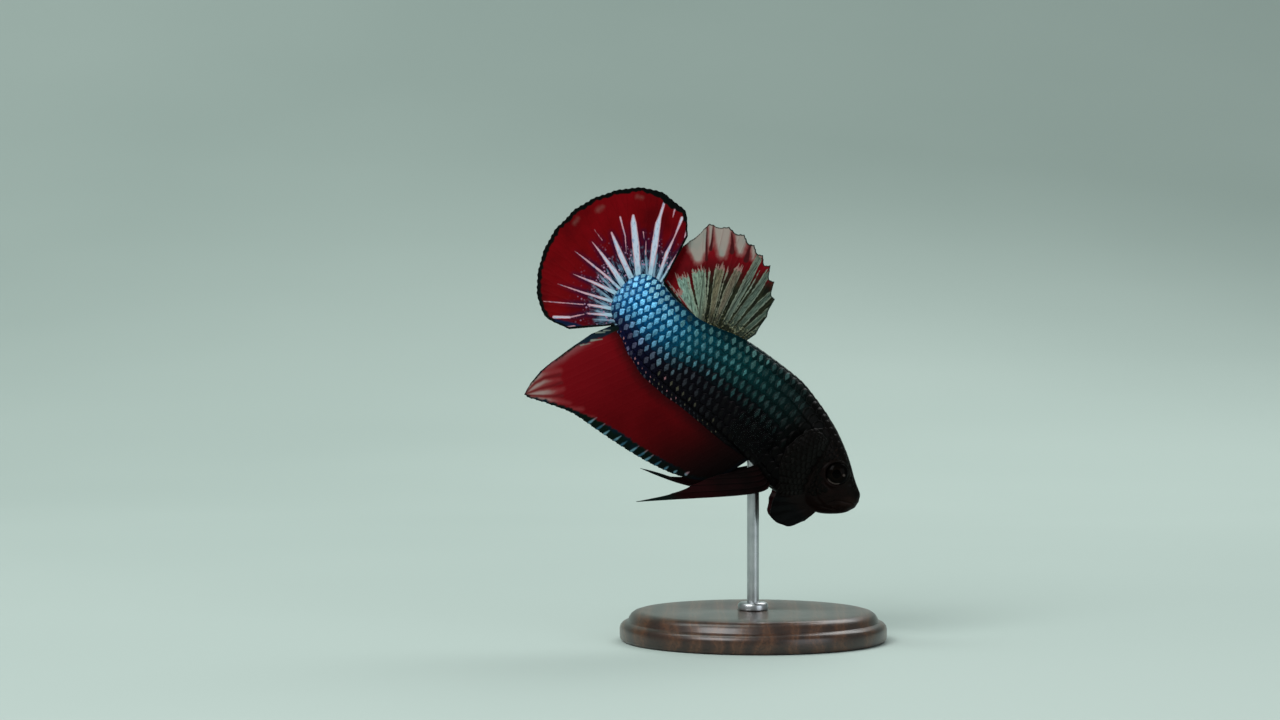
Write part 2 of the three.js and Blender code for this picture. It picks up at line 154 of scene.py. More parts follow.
def wood_colour(tree):
    grain = object_place(tree, (1, 0.09, 1), (0, 0, math.radians(24)))
    rings = node(
        tree,
        "ShaderNodeTexWave",
        {"bands_direction": "X"},
        {"Vector": grain, "Scale": 95.0, "Distortion": 7.0, "Detail": 3.0, "Detail Scale": 1.4},
    ).outputs["Fac"]
    pores = noise(tree, object_place(tree, (1, 0.05, 1), (0, 0, math.radians(24))), 3800.0, 2.0)
    figure = ramp(
        tree, rings, [(0.0, "#2c1a10"), (0.45, "#3d2415"), (0.8, "#51321d"), (1.0, "#452a18")], True
    )
    dark = ramp(tree, pores, [(0.36, 0.55), (0.5, 1.0)])
    mixed = node(
        tree, "ShaderNodeMix", {"data_type": "RGBA", "blend_type": "MULTIPLY"}, {0: 1.0, 6: figure, 7: dark}
    )
    return mixed.outputs[2]


def wood_pores(tree):
    return noise(tree, object_place(tree, (1, 0.05, 1), (0, 0, math.radians(24))), 3800.0, 2.0)


def wood_gloss(tree):
    return node(
        tree,
        "ShaderNodeMapRange",
        None,
        {"Value": noise(tree, object_place(tree), 160.0), "To Min": 0.3, "To Max": 0.42},
    ).outputs[0]


# Walnut with satin lacquer: brown figure in long bands, fine open pores, a soft even shine.
walnut = finish_material(
    "lacquered_walnut", wood_colour, wood_gloss, (wood_pores, 0.012), Coat_Weight=0.35, Coat_Roughness=0.18
)

base = turned_piece(
    "stand_foot",
    [
        (0, 0), (19.2, 0), (19.7, 0.15), (19.93, 0.45), (BASE_RADIUS, 0.9), (BASE_RADIUS, 1.9),
        (19.9, 2.3), (19.6, 2.65),
        (19.2, 2.85), (18.85, 2.95), (18.75, 3.1), (18.6, 3.5), (18.3, 3.95), (17.8, 4.3), (17.2, 4.46),
        (16.6, BASE_HEIGHT), (1.25, BASE_HEIGHT), (1.05, 4.4), (1.0, 4.2), (1.0, 1.4), (0, 1.4),
    ],
    160,
)
bpy.ops.object.shade_smooth_by_angle(angle=math.radians(35))
base.data.materials.append(walnut)
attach(base, "root")
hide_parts("stand_base")

# ---------------------------------------------------------------------------
# Rod and collar: a ground steel rod pressed into the base, with a small
# turned collar round its foot. Its top goes up into the belly of the fish.
# ---------------------------------------------------------------------------


def steel_colour(tree):
    patches = noise(tree, object_place(tree), 420.0, 2.0)
    return ramp(tree, patches, [(0.3, "#a9adb0"), (0.7, "#c2c5c7")])


def steel_lines(tree):
    """Rings left by the lathe and the grinding belt, about 0.15 mm apart."""
    return noise(tree, object_place(tree, (0.1, 0.1, 1)), 6500.0, 2.0)


def steel_gloss(tree):
    return node(
        tree, "ShaderNodeMapRange", None, {"Value": steel_lines(tree), "To Min": 0.24, "To Max": 0.4}
    ).outputs[0]


# Ground stainless steel: grey, mirror-like along its fine rings, soft across them.
steel = finish_material("ground_steel", steel_colour, steel_gloss, (steel_lines, 0.006), Metallic=1.0)

rod = turned_piece(
    "stand_pin",
    [(0, ROD_FOOT), (ROD_RADIUS, ROD_FOOT), (ROD_RADIUS, ROD_TOP - 0.3), (ROD_RADIUS - 0.3, ROD_TOP),
    (0, ROD_TOP)],
    48,
)
bpy.ops.object.shade_smooth_by_angle(angle=math.radians(40))
rod.data.materials.append(steel)
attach(rod, "root")
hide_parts("stand_rod")

collar = turned_piece(
    "stand_ring",
    [
        (0.92, 4.55), (2.15, 4.55), (2.3, 4.65), (2.3, 5.2), (2.25, 5.4), (2.1, 5.58), (1.9, 5.7),
        (1.2, 5.78), (1.0, 5.72), (0.92, 5.6), (0.92, 4.55),
    ],
    96,
)
bpy.ops.object.shade_smooth_by_angle(angle=math.radians(40))
collar.data.materials.append(steel)
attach(collar, "root")
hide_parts("stand_collar")

# ---------------------------------------------------------------------------
# Skin: the fish's flesh from lips to the scaled root of the tail fin, with
# both flared gill covers and the beard of gill membrane, in one surface.
# It is lofted through given stations of the body, joined to the covers,
# and then folded and creased over the face.
# ---------------------------------------------------------------------------
NOSE_DOWN = math.radians(42.5)
SNOUT = (15.9, 0.0, 20.7)
BODY_LENGTH = 48.2
TAIL_SWING = 2.2
SWING_FROM = 16.0
LOBE_FROM = 43.6
LOBE_FULLNESS = 2.4
CHIN_FULLNESS = 3.6
SCALE_DEPTH = 0.15
SKIN_CELL = 0.105
SKIN_THINNING = 0.43


def smooth_curve(rows):
    """A smooth line through rows (place, value, ...): no overshoot between the stations."""
    rows = np.array(rows, float)
    place, value = rows[:, 0], rows[:, 1:]
    slope = np.diff(value, axis=0) / np.diff(place)[:, None]
    a, b = slope[:-1], slope[1:]
    total = np.where(np.abs(a + b) < 1e-12, 1.0, a + b)
    middle = np.where(a * b > 0, 2 * a * b / total, 0.0)
    tangent = np.vstack([slope[:1], middle, slope[-1:]])

    def at(where):
        where = np.clip(np.asarray(where, float), place[0], place[-1])
        i = np.clip(np.searchsorted(place, where, "right") - 1, 0, len(place) - 2)
        width = place[i + 1] - place[i]
        t = ((where - place[i]) / width)[..., None]
        width = width[..., None]
        found = (
            (2 * t**3 - 3 * t**2 + 1) * value[i]
            + (t**3 - 2 * t**2 + t) * width * tangent[i]
            + (3 * t**2 - 2 * t**3) * value[i + 1]
            + (t**3 - t**2) * width * tangent[i + 1]
        )
        return found[..., 0] if found.shape[-1] == 1 else found

    return at


def ease(value, low, high):
    """0 below low, 1 above high, smooth between."""
    t = np.clip((np.asarray(value, float) - low) / (high - low), 0, 1)
    return t * t * (3 - 2 * t)


back_line = smooth_curve([
    [0, 0.75], [2.2, 1.8], [6.3, 4.2], [10.6, 6.0], [14.6, 7.05], [18.9, 7.65], [23.2, 7.35],
    [28.9, 6.6], [36.8, 4.2], [40.5, 4.0], [43.6, 4.4], [48.2, 5.0],
])
belly_line = smooth_curve([
    [0, -2.0], [1.3, -3.6], [3.6, -5.45], [8, -7.0], [12, -7.5], [17, -6.8], [36, -7.15],
    [40.5, -6.6], [43.6, -5.3], [48.2, -5.1],
])
half_width = smooth_curve([
    [0, 1.25], [2.3, 2.2], [5.5, 2.95], [9, 3.45], [15, 3.85], [19, 3.75], [28.9, 3.0], [40.5, 1.9],
    [45, 1.35], [48.2, 0.95],
])
widest_level = smooth_curve([[0, -0.6], [5.5, -0.3], [20, -0.3], [37, -1.2], [43.6, -0.4], [48.2, -0.3]])
back_ridge = smooth_curve([[0, 0.8], [8, 0.85], [20, 1.0], [30, 1.25], [48.2, 1.3]])
belly_keel = smooth_curve([[0, 0.8], [10, 0.85], [17, 1.1], [24, 1.5], [42, 1.5], [48.2, 1.3]])


def swing(along):
    t = np.maximum(0, (np.asarray(along, float) - SWING_FROM) / (BODY_LENGTH - SWING_FROM))
    return TAIL_SWING * t**2


def in_room(along, up, out):
    """A place on the fish, mm back from the snout, up and out to its left, as a place on the stand."""
    along, up, out = np.broadcast_arrays(*[np.asarray(v, float) for v in (along, up, out)])
    c, s = math.cos(NOSE_DOWN), math.sin(NOSE_DOWN)
    return np.stack(
        [SNOUT[0] - along * c + up * s, SNOUT[1] + out + swing(along), SNOUT[2] + along * s + up * c], -1
    )


def on_fish(points):
    """The other way: (along, up, out) of places on the stand."""
    c, s = math.cos(NOSE_DOWN), math.sin(NOSE_DOWN)
    x, y, z = points[..., 0] - SNOUT[0], points[..., 1], points[..., 2] - SNOUT[2]
    along, up = -x * c + z * s, x * s + z * c
    return along, up, y - swing(along)


def ring_point(along, turn, margin=0.0):
    """The body's surface: turn is 0 on the back, pi under the belly, and goes round the left side first."""
    snout = np.maximum(0, 1 - along)
    lobe = np.clip((along - LOBE_FROM) / (BODY_LENGTH - LOBE_FROM), 0, 1)
    lobe_rounding = (1 - lobe**LOBE_FULLNESS) ** (1 / LOBE_FULLNESS)
    rounding = np.sqrt(1 - snout**2) * lobe_rounding
    level = widest_level(along)
    over = (back_line(along) - level) * rounding
    under = (level - belly_line(along)) * (1 - snout**CHIN_FULLNESS) ** (1 / CHIN_FULLNESS) * lobe_rounding
    half = half_width(along) * rounding
    height, side = np.cos(turn), np.sin(turn)
    upper = height > 0
    power = np.where(upper, back_ridge(along), belly_keel(along))
    up = level + height * (np.where(upper, over, under) + margin)
    out = np.sign(side) * (half + margin) * np.abs(side) ** power
    return up, out


def flank(along, up):
    """Half the body's width at a height."""
    level = widest_level(along)
    reach = np.where(up > level, back_line(along) - level, level - belly_line(along))
    share = np.clip(np.abs(up - level) / reach, 0, 1)
    power = np.where(up > level, back_ridge(along), belly_keel(along))
    return half_width(along) * np.sqrt(1 - share**2) ** power


gill_hinge = smooth_curve([
    [0, 9.6, 3.6], [0.25, 8.7, 1.4], [0.45, 8.2, -1.4], [0.65, 7.2, -4.2], [0.82, 5.6, -5.3], [1, 3.9, -5.0],
])
gill_edge = smooth_curve([
    [0, 11.9, 4.3, 3.5], [0.12, 13.3, 2.6, 5.6], [0.3, 14.0, -0.8, 7.0], [0.46, 13.0, -4.2, 7.0],
    [0.58, 11.0, -6.4, 6.1], [0.7, 9.9, -9.0, 4.7], [0.8, 8.3, -10.75, 3.4], [0.9, 5.9, -10.2, 1.9],
    [1, 4.2, -7.7, 0.65],
])


def gill_point(share, reach):
    """The flared cover: share runs down its hinge from nape to chin, reach from hinge to free edge."""
    hinge, edge = gill_hinge(share), gill_edge(share)
    hinge_out = np.maximum(0.5, flank(hinge[..., 0], hinge[..., 1]) - 0.5)
    along = hinge[..., 0] + (edge[..., 0] - hinge[..., 0]) * reach
    up = hinge[..., 1] + (edge[..., 1] - hinge[..., 1]) * reach
    out = hinge_out + (edge[..., 2] - hinge_out) * reach
    bulge = 0.9 * np.sin(np.pi * reach) * np.sin(np.pi * np.minimum(1, share * 1.15 + 0.1))
    return along, up, out + bulge


def plate_shape(middle, thickness):
    """Points and faces of a thin plate with two faces and a rim, about its middle surface."""
    across, down = np.gradient(middle, axis=0), np.gradient(middle, axis=1)
    normal = np.cross(across, down)
    normal /= np.linalg.norm(normal, axis=2, keepdims=True) + 1e-12
    shift = normal * np.asarray(thickness)[..., None] / 2
    count = middle.shape[0] * middle.shape[1]
    points = np.concatenate([(middle + shift).reshape(-1, 3), (middle - shift).reshape(-1, 3)])
    i = np.arange(count).reshape(middle.shape[:2])
    a, b, c, d = i[:-1, :-1], i[1:, :-1], i[1:, 1:], i[:-1, 1:]
    front = np.stack([a, b, c, d], -1).reshape(-1, 4)
    rear = front[:, ::-1] + count
    rim = np.concatenate([i[:, 0], i[-1, 1:], i[-2::-1, -1], i[0, -2:0:-1]])
    after = np.roll(rim, -1)
    side = np.stack([after, rim, rim + count, after + count], -1)
    return points, np.concatenate([front, rear, side])


def make_piece(name, points, faces, smooth=True):
    """A new object at the origin from points in mm."""
    mesh = bpy.data.meshes.new(name)
    mesh.from_pydata((points * MM).tolist(), [], faces.tolist())
    mesh.update()
    if smooth:
        mesh.shade_smooth()
    piece = bpy.data.objects.new(name, mesh)
    bpy.context.scene.collection.objects.link(piece)
    return piece


def read_points(mesh):
    found = np.zeros(len(mesh.vertices) * 3, np.float32)
    mesh.vertices.foreach_get("co", found)
    return found.reshape(-1, 3).astype(float)


def read_normals(mesh):
    found = np.zeros(len(mesh.vertices) * 3, np.float32)
    mesh.vertex_normals.foreach_get("vector", found)
    return found.reshape(-1, 3).astype(float)


def apply_modifier(piece, kind, **settings):
    bpy.ops.object.select_all(action="DESELECT")
    piece.select_set(True)
    bpy.context.view_layer.objects.active = piece
    made = piece.modifiers.new(kind.lower(), kind)
    for name, value in settings.items():
        setattr(made, name, value)
    bpy.ops.object.modifier_apply(modifier=made.name)


# The body's loft, closed at the snout and at the scaled lobe.
RINGS, SIDES = 230, 120
t = np.linspace(0, 1, RINGS)
ring_along = 0.012 + (BODY_LENGTH - 0.03) * (0.45 * t + 0.55 * (1 - np.cos(np.pi * t)) / 2)
ring_turn = np.linspace(0, 2 * np.pi, SIDES, endpoint=False)
along_grid, turn_grid = np.meshgrid(ring_along, ring_turn, indexing="ij")
inset = 0.04 + (SCALE_DEPTH - 0.04) * ease(along_grid, 9, 14)
up_grid, out_grid = ring_point(along_grid, turn_grid, -inset * ease(along_grid, 0, 1.2))
body_points = in_room(along_grid, up_grid, out_grid).reshape(-1, 3)
i = np.arange(RINGS * SIDES).reshape(RINGS, SIDES)
nxt = np.roll(i, -1, axis=1)
body_faces = np.stack([i[:-1], i[1:], nxt[1:], nxt[:-1]], -1).reshape(-1, 4).tolist()
body_faces += [i[0].tolist(), i[-1, ::-1].tolist()]

skin = bpy.data.objects.new("fish_skin", bpy.data.meshes.new("fish_skin"))
bpy.context.scene.collection.objects.link(skin)
all_points, all_faces = [body_points], body_faces
count = len(body_points)
share_line = np.linspace(0, 1, 90)
reach_line = np.linspace(0, 0.985, 40)
share_grid, reach_grid = np.meshgrid(share_line, reach_line, indexing="ij")
for side in (1, -1):
    along, up, out = gill_point(share_grid, reach_grid)
    cover = in_room(along, up, side * out)
    thick = 0.52 - 0.2 * ease(reach_grid, 0.2, 1.0)
    points, faces = plate_shape(cover if side > 0 else cover[::-1], thick)
    all_points.append(points)
    all_faces += (faces + count).tolist()
    count += len(points)

# The sheath at the root of the keel fin: a low ridge of flesh under the belly, which carries small scales.
SHEATH_FROM, SHEATH_TO = 18.0, 44.0
sheath_depth = smooth_curve(
    [[18, 0.0], [21, 0.3], [29, 0.45], [32.5, 0.8], [36.5, 0.85], [40, 0.4], [44, 0.45]]
)
sheath_along, sheath_share = np.meshgrid(
    np.linspace(SHEATH_FROM, SHEATH_TO, 160), np.linspace(0, 1, 14), indexing="ij"
)
sheath_up = belly_line(sheath_along) + 0.9 - (0.9 + sheath_depth(sheath_along)) * sheath_share
points, faces = plate_shape(in_room(sheath_along, sheath_up, 0 * sheath_up), 0.85 - 0.4 * sheath_share)
all_points.append(points)
all_faces += (faces + count).tolist()
skin.data.from_pydata(np.concatenate(all_points).tolist(), [], all_faces)
apply_modifier(skin, "REMESH", mode="VOXEL", voxel_size=SKIN_CELL, adaptivity=0.0)

# The joining leaves tiny bubbles shut in under the gill covers: only the one outer skin is kept.
flesh = bmesh.new()
flesh.from_mesh(skin.data)
outer, to_visit = set(), [max(flesh.verts, key=lambda point: point.co.z)]
while to_visit:
    point = to_visit.pop()
    if point not in outer:
        outer.add(point)
        to_visit += [edge.other_vert(point) for edge in point.link_edges]
bmesh.ops.delete(flesh, geom=[point for point in flesh.verts if point not in outer], context="VERTS")
flesh.to_mesh(skin.data)
flesh.free()
apply_modifier(skin, "SMOOTH", factor=0.5, iterations=8)


def to_line(along, up, line):
    """Distance in mm from places on the side of the head to a given line, and the share along it."""
    line = np.array(line, float)
    best = np.full(along.shape, 1e9)
    share = np.zeros(along.shape)
    for n, (a, b) in enumerate(zip(line[:-1], line[1:])):
        d = b - a
        t = np.clip(((along - a[0]) * d[0] + (up - a[1]) * d[1]) / (d @ d), 0, 1)
        far = np.hypot(along - a[0] - t * d[0], up - a[1] - t * d[1])
        share = np.where(far < best, (n + t) / (len(line) - 1), share)
        best = np.minimum(best, far)
    return best, share


def mouth_level(along, up):
    """Distance above the slit of the mouth, which falls back from the snout's end."""
    return (up - MOUTH_UP + math.tan(MOUTH_SLOPE) * along) * math.cos(MOUTH_SLOPE)


EYE_ALONG, EYE_UP, EYE_RADIUS, EYE_FLATNESS, EYE_SUNK = 5.6, 0.76, 1.85, 0.64, 0.66
MOUTH_UP, MOUTH_SLOPE = -0.55, math.radians(28)

points = read_points(skin.data)
normals = read_normals(skin.data)
along, up, out = on_fish(points)
side_out = np.abs(out)
raise_by = np.zeros(len(points))
on_head = along < 15.5
plate_zone = side_out > flank(along, up) + 0.25

# Mouth: a slit that falls towards the cheek between two full lips.
mouth = mouth_level(along, up)
lips = 1 - ease(along, 1.9, 2.9)
raise_by += lips * (
    -0.15 * ease(side_out, 0.1, 0.6) * np.exp(-((mouth / 0.1) ** 2))
    + 0.03 * np.exp(-(((mouth - 0.42) / 0.26) ** 2))
    + 0.1 * np.exp(-(((mouth + 0.4) / 0.36) ** 2))
    - 0.04 * np.exp(-(((mouth - 0.95) / 0.18) ** 2))
    - 0.03 * np.exp(-(((mouth + 1.02) / 0.18) ** 2))
)

# Creases between the bones of the face: line, depth, width.
FACE_CREASES = [
    ([(7.2, 2.4), (7.9, 0.6), (7.8, -1.4), (6.9, -3.0), (5.0, -3.9), (3.6, -4.0)], 0.13, 0.22),
    ([(3.0, 0.2), (3.5, -0.9), (4.5, -1.5), (5.9, -1.5), (7.0, -0.7), (7.3, 0.6)], 0.09, 0.18),
    ([(2.5, -1.9), (3.1, -2.6), (3.5, -3.4)], 0.14, 0.17),
    ([(0.9, -2.9), (2.4, -3.5), (4.3, -4.5)], 0.1, 0.2),
    ([(7.4, 3.4), (9.4, 4.2), (11.2, 3.9)], 0.08, 0.25),
    ([(2.0, 1.0), (3.4, 2.2), (5.4, 3.0)], 0.06, 0.16),
]
for line, depth, width in FACE_CREASES:
    far, share = to_line(along, up, line)
    ends = np.sin(np.pi * np.clip(share, 0, 1)) ** 0.35
    raise_by -= np.where(plate_zone | (side_out < 0.5), 0, depth * ends * np.exp(-((far / width) ** 2)))

# Nostrils and the pores of the feeling line: place, pit depth, pit radius.
FACE_PITS = [
    (2.35, 1.1, 0.22, 0.17), (3.55, 1.75, 0.2, 0.15),
    (1.7, -2.5, 0.07, 0.09), (2.6, -3.1, 0.07, 0.09), (4.1, -2.6, 0.08, 0.1), (5.4, -2.75, 0.08, 0.1),
    (6.6, -2.2, 0.08, 0.1), (4.6, 2.9, 0.08, 0.1), (6.6, 3.3, 0.08, 0.1), (8.4, 3.0, 0.08, 0.1),
]
for pit_along, pit_up, depth, radius in FACE_PITS:
    far = np.hypot(along - pit_along, up - pit_up)
    shape = -depth * np.exp(-((far / radius) ** 2)) + 0.35 * depth * np.exp(
        -(((far - 2.1 * radius) / radius) ** 2)
    )
    raise_by += np.where(plate_zone | (side_out < 0.4), 0, shape)

# Eye socket: the skin stands up in a rim round the ball and falls away under it.
far = np.hypot(along - EYE_ALONG, up - EYE_UP)
brow = 1 + 0.5 * ease(up - EYE_UP, 0, 1.6)
rim = 0.15 * brow * np.exp(-(((far - 1.86) / 0.22) ** 2)) - 0.75 * (1 - ease(far, 1.3, 1.7))
raise_by += np.where(plate_zone | (side_out < 0.6), 0, rim)

# Gill covers: growth lines round the hinge and fine folds of the membrane fanning to the beard's edge.
cover_far = np.hypot(along - 8.2, up + 0.4)
cover = plate_zone * (1 - ease(-up, 5.0, 6.5)) * ease(along, 8.6, 9.6)
raise_by += 0.022 * cover * np.sin(2 * np.pi * cover_far / 0.8)
fan = np.arctan2(-(up + 3.4), along - 3.6)
beard = ease(-up, 5.6, 7.2) * (along < 13)
raise_by += 0.05 * beard * np.sin(fan * 30)
raise_by -= 0.1 * plate_zone * np.exp(-((to_line(along, up, [(7.9, -3.6), (11.0, -6.2)])[0] / 0.2) ** 2))

points += normals * (raise_by * on_head)[:, None]
skin.data.vertices.foreach_set("co", points.astype(np.float32).ravel())
skin.data.update()

# The surface that the scales are laid on; then the skin's cells are thinned out where it is plain.
corners = np.zeros(len(skin.data.loops), np.int32)
skin.data.polygons.foreach_get("vertices", corners)
lie = BVHTree.FromPolygons(points.tolist(), corners.reshape(-1, 4).tolist())

apply_modifier(skin, "DECIMATE", ratio=SKIN_THINNING)
points = read_points(skin.data)
skin.data.vertices.foreach_set("co", (points * MM).astype(np.float32).ravel())
skin.data.update()
skin.data.shade_smooth()

# The markings of the body. SHINE is the bright middle of each scale and NET the dark edge round it. Both go
# from black shoulders through teal to blue at the root of the tail. The back is greener, and dark along its
# ridge. Below a line that drops towards the tail the low flank turns violet. Behind the head the skin takes
# the colours of NET alone. The head and its scales have plain dark tones of their own.
SHINE = [
    (9, "#060606"), (14, "#070908"), (16, "#172423"), (18.5, "#253a3a"), (22, "#214140"), (26, "#2c5455"),
    (30, "#305a62"), (34, "#40727e"), (38, "#4c87a2"), (42, "#60a7cf"), (45, "#5a9cc6"), (48, "#6ba8cc"),
]
NET = [
    (9, "#030303"), (14, "#030403"), (16, "#041110"), (20, "#031a1a"), (26, "#022c2e"), (30, "#022f36"),
    (34, "#023a49"), (38, "#024162"), (42, "#034672"), (45, "#05497a"), (48, "#174a78"),
]
BACK_SHINE = [
    (9, "#060504"), (14, "#070706"), (18, "#1f302f"), (22, "#2b4948"), (26, "#3a5b59"), (34, "#40686a"),
    (38, "#4a7f90"), (42, "#7cb4ca"), (48, "#72aec8"),
]
LOW_SHINE = [
    (9, "#040303"), (20, "#080605"), (25, "#0e0e10"), (30, "#2b2d33"), (34, "#4b5059"), (38, "#595a73"),
    (42, "#6f6c90"), (45, "#7a98b8"), (48, "#6a98b8"),
]
LOW_NET = [(9, "#040303"), (24, "#050407"), (34, "#06050d"), (42, "#070926"), (48, "#141a3c")]
low_line = smooth_curve([
    [9, 0.6], [14, 0.42], [18, 0.43], [24, 0.5], [30, 0.47], [34, 0.35], [38, 0.29], [42, 0.23], [48.2, 0.1],
])


def tone_along(stops, along):
    """Linear colour from stops of (place along the fish, hex)."""
    places = [place for place, _ in stops]
    colours = np.array([linear(colour)[:3] for _, colour in stops])
    return np.stack([np.interp(along, places, colours[:, k]) for k in range(3)], -1)


def blend(below, above, share):
    return below + (above - below) * np.asarray(share, float)[..., None]


def body_shine(along, height):
    """Linear colour at a place: along in mm, height 0 at the belly line and 1 at the back line."""
    colour = blend(tone_along(SHINE, along), tone_along(BACK_SHINE, along), ease(height, 0.66, 0.86))
    colour *= (1 - 0.75 * ease(height, 0.93, 1.0))[..., None]
    low = 1 - ease(height - low_line(along), -0.22, 0.14)
    colour = blend(colour, tone_along(LOW_SHINE, along), low)
    # Near the belly, from mid-body to the tail, the colour is darkened as painted shade under the body.
    return colour * (1 - 0.6 * (1 - ease(height, 0.06, 0.27)) * ease(along, 26, 31))[..., None]


def body_net(along, height):
    low = 1 - ease(height - low_line(along), -0.12, 0.28)
    colour = blend(tone_along(NET, along), tone_along(LOW_NET, along), low)
    return colour * (1 - 0.6 * ease(height, 0.78, 0.97))[..., None]


def paint(mesh, name, colours):
    """Stores one linear colour per point under a name."""
    layer = mesh.attributes.new(name, "FLOAT_COLOR", "POINT")
    rgba = np.ones((len(mesh.vertices), 4), np.float32)
    rgba[:, :3] = colours
    layer.data.foreach_set("color", rgba.ravel())


def store(mesh, name, values):
    """Stores one number per point under a name."""
    layer = mesh.attributes.new(name, "FLOAT", "POINT")
    layer.data.foreach_set("value", np.asarray(values, np.float32).ravel())


along, up, out = on_fish(points)
height = (up - belly_line(along)) / (back_line(along) - belly_line(along))
ground = body_net(along, height)
# The face: warm brown-black cheeks and brow, paler lips, a dull red lining behind the covers.
face_tint = blend(np.array(linear("#0e0605")[:3]), np.array(linear("#080503")[:3]), ease(height, 0.55, 0.9))
ground = blend(ground, face_tint, 1 - ease(along, 7, 14))
normals = read_normals(skin.data)
facing_in = ease(-(normals[:, 1] * np.sign(out)), -0.1, 0.5) * (
    (np.abs(out) > flank(along, up) + 0.1) & (along < 15)
)
ground = blend(ground, np.array(linear("#250507")[:3]), facing_in)
beard_dark = ease(-up, 6.2, 7.6) * (along < 13) * (1 - facing_in)
ground = blend(ground, np.array(linear("#040607")[:3]), beard_dark * 0.8)
lip = np.exp(-((mouth_level(along, up) / 0.8) ** 2)) * (1 - ease(along, 1.6, 2.8))
ground = blend(ground, np.array(linear("#1a0f0b")[:3]), lip * 0.7)
paint(skin.data, "Markings", ground)


def skin_colour(tree):
    colour = node(tree, "ShaderNodeAttribute", {"attribute_name": "Markings"}).outputs["Color"]
    mottle = noise(tree, object_place(tree), 900.0, 4.0, 0.6)
    tone = ramp(tree, mottle, [(0.3, 0.6), (0.7, 1.5)])
    return node(
        tree, "ShaderNodeMix", {"data_type": "RGBA", "blend_type": "MULTIPLY"}, {0: 1.0, 6: colour, 7: tone}
    ).outputs[2]


def skin_grain(tree):
    """Fine pebbling of the wet skin, about 0.25 mm across."""
    return noise(tree, object_place(tree), 4200.0, 3.0, 0.55)


def skin_gloss(tree):
    return node(
        tree,
        "ShaderNodeMapRange",
        None,
        {"Value": noise(tree, object_place(tree), 700.0, 3.0), "To Min": 0.34, "To Max": 0.52},
    ).outputs[0]


# Wet fish skin over dark pigment: softly shining, pebbled.
wet_skin = finish_material(
    "wet_dark_skin", skin_colour, skin_gloss, (skin_grain, 0.012), Specular_IOR_Level=0.03, Coat_Weight=0.035,
    Coat_Roughness=0.2,
)
skin.data.materials.append(wet_skin)
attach(skin, "root")
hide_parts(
    "head", "upper_jaw", "lower_jaw", "trunk_front", "trunk_rear", "tail_peduncle",
    "operculum_left", "operculum_right", "gill_beard_left", "gill_beard_right",
)

# ---------------------------------------------------------------------------
# Scales: thin horny plates rooted in the skin in slanting rows, each laid
# over the root of the one behind it, like tiles. Their bright middles are the
# fish's blue; their dark edges draw the net between them. On the head they are
# small, flat and nearly black.
# ---------------------------------------------------------------------------
ROWS = 9  # from the back line to the belly line on each side
PITCH = 1.18  # along a row
SCALE_LENGTH = 1.95  # in pitches, most of it under the scales ahead
SCALE_WIDTH = 1.2  # in row widths
SLIP = 0.17  # how far each row slips back against the one above it, in pitches

# One scale: s runs from its root to its free edge, w from its lower side to its upper side.
s_line = np.linspace(0, 1, 6)
w_line = np.linspace(-1, 1, 7)
one_s, one_w = np.meshgrid(s_line, w_line, indexing="ij")
one_reach = one_s * (1 - 0.3 * np.abs(one_w) ** 2.4 * one_s**1.5)
one_half = (0.66 + 0.34 * ease(one_s, 0, 0.6)) * one_w
one_faces = plate_shape(np.stack([one_reach, one_half, 0 * one_s], -1), 0.1 + 0 * one_s)[1]


def lay_scales(name, roots, lift, colours):
    """One mesh of scales. Each root is (place, way to the tail, length, width, along, up, side)."""
    shells, facts = [], []
    samples = list(zip(one_s.ravel(), one_reach.ravel(), one_half.ravel(), one_w.ravel()))
    for place, tailward, length, width, along, up, side in roots:
        centre, normal, _, far = lie.find_nearest(Vector(place))
        if far > 0.9:
            continue
        tailward = Vector(tailward)
        tail = (tailward - normal * tailward.dot(normal)).normalized()
        across = normal.cross(tail) * (side or 1)
        spin = rng.normal(0, 0.06)
        tail, across = tail + across * spin, across - tail * spin
        length *= 1 + rng.normal(0, 0.03)
        thick = 0.02 + 0.012 * length
        top, low = [], []
        for s, reach, half, w in samples:
            spot = centre + tail * ((reach - 0.35) * length) + across * (half * width / 2)
            near, out_of, _, _ = lie.find_nearest(spot)
            rise = lift * length * (0.05 + 0.95 * s**1.2) * (1 - 0.2 * w * w)
            top.append(near + out_of * rise)
            low.append(near + out_of * (rise - thick))
        shells.append(np.array(top + low if side >= 0 else low + top))
        facts.append((along, up, side))
    per = len(samples) * 2
    piece = make_piece(
        name, np.concatenate(shells), np.concatenate([one_faces + per * n for n in range(len(shells))])
    )
    along, up, side = np.array(facts).T
    height = (up - belly_line(along)) / (back_line(along) - belly_line(along))
    shine, net, leaf = colours(along, height)
    paint(piece.data, "Shine", np.repeat(shine, per, axis=0))
    paint(piece.data, "Net", np.repeat(net, per, axis=0))
    store(piece.data, "Leaf", np.repeat(leaf, per))
    corner = np.zeros(len(piece.data.loops), np.int32)
    piece.data.loops.foreach_get("vertex_index", corner)
    own = np.tile(np.stack([one_w.ravel() * 0.5 + 0.5, one_s.ravel()], -1), (2 * len(shells), 1))
    scale_map = piece.data.uv_layers.new(name="ScaleMap")
    scale_map.data.foreach_set("uv", own[corner].astype(np.float32).ravel())
    # The bake's map: the body unrolled, its two sides one above the other, with a tiny patch for each scale.
    turn = (1 - np.clip(height, -0.6, 1.1)) / 1.8
    home = np.stack(
        [0.02 + 0.96 * along / 50, 0.5 + np.where(side < 0, -0.25, 0.25) + 0.42 * (turn - 0.5)], -1
    )
    patch = np.repeat(home, per, axis=0) + (own - 0.5) * 0.003
    bake_map = piece.data.uv_layers.new(name="OFBake")
    bake_map.data.foreach_set("uv", patch[corner].astype(np.float32).ravel())
    piece.data.materials.append(horny_scale)
    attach(piece, "root")
    return piece


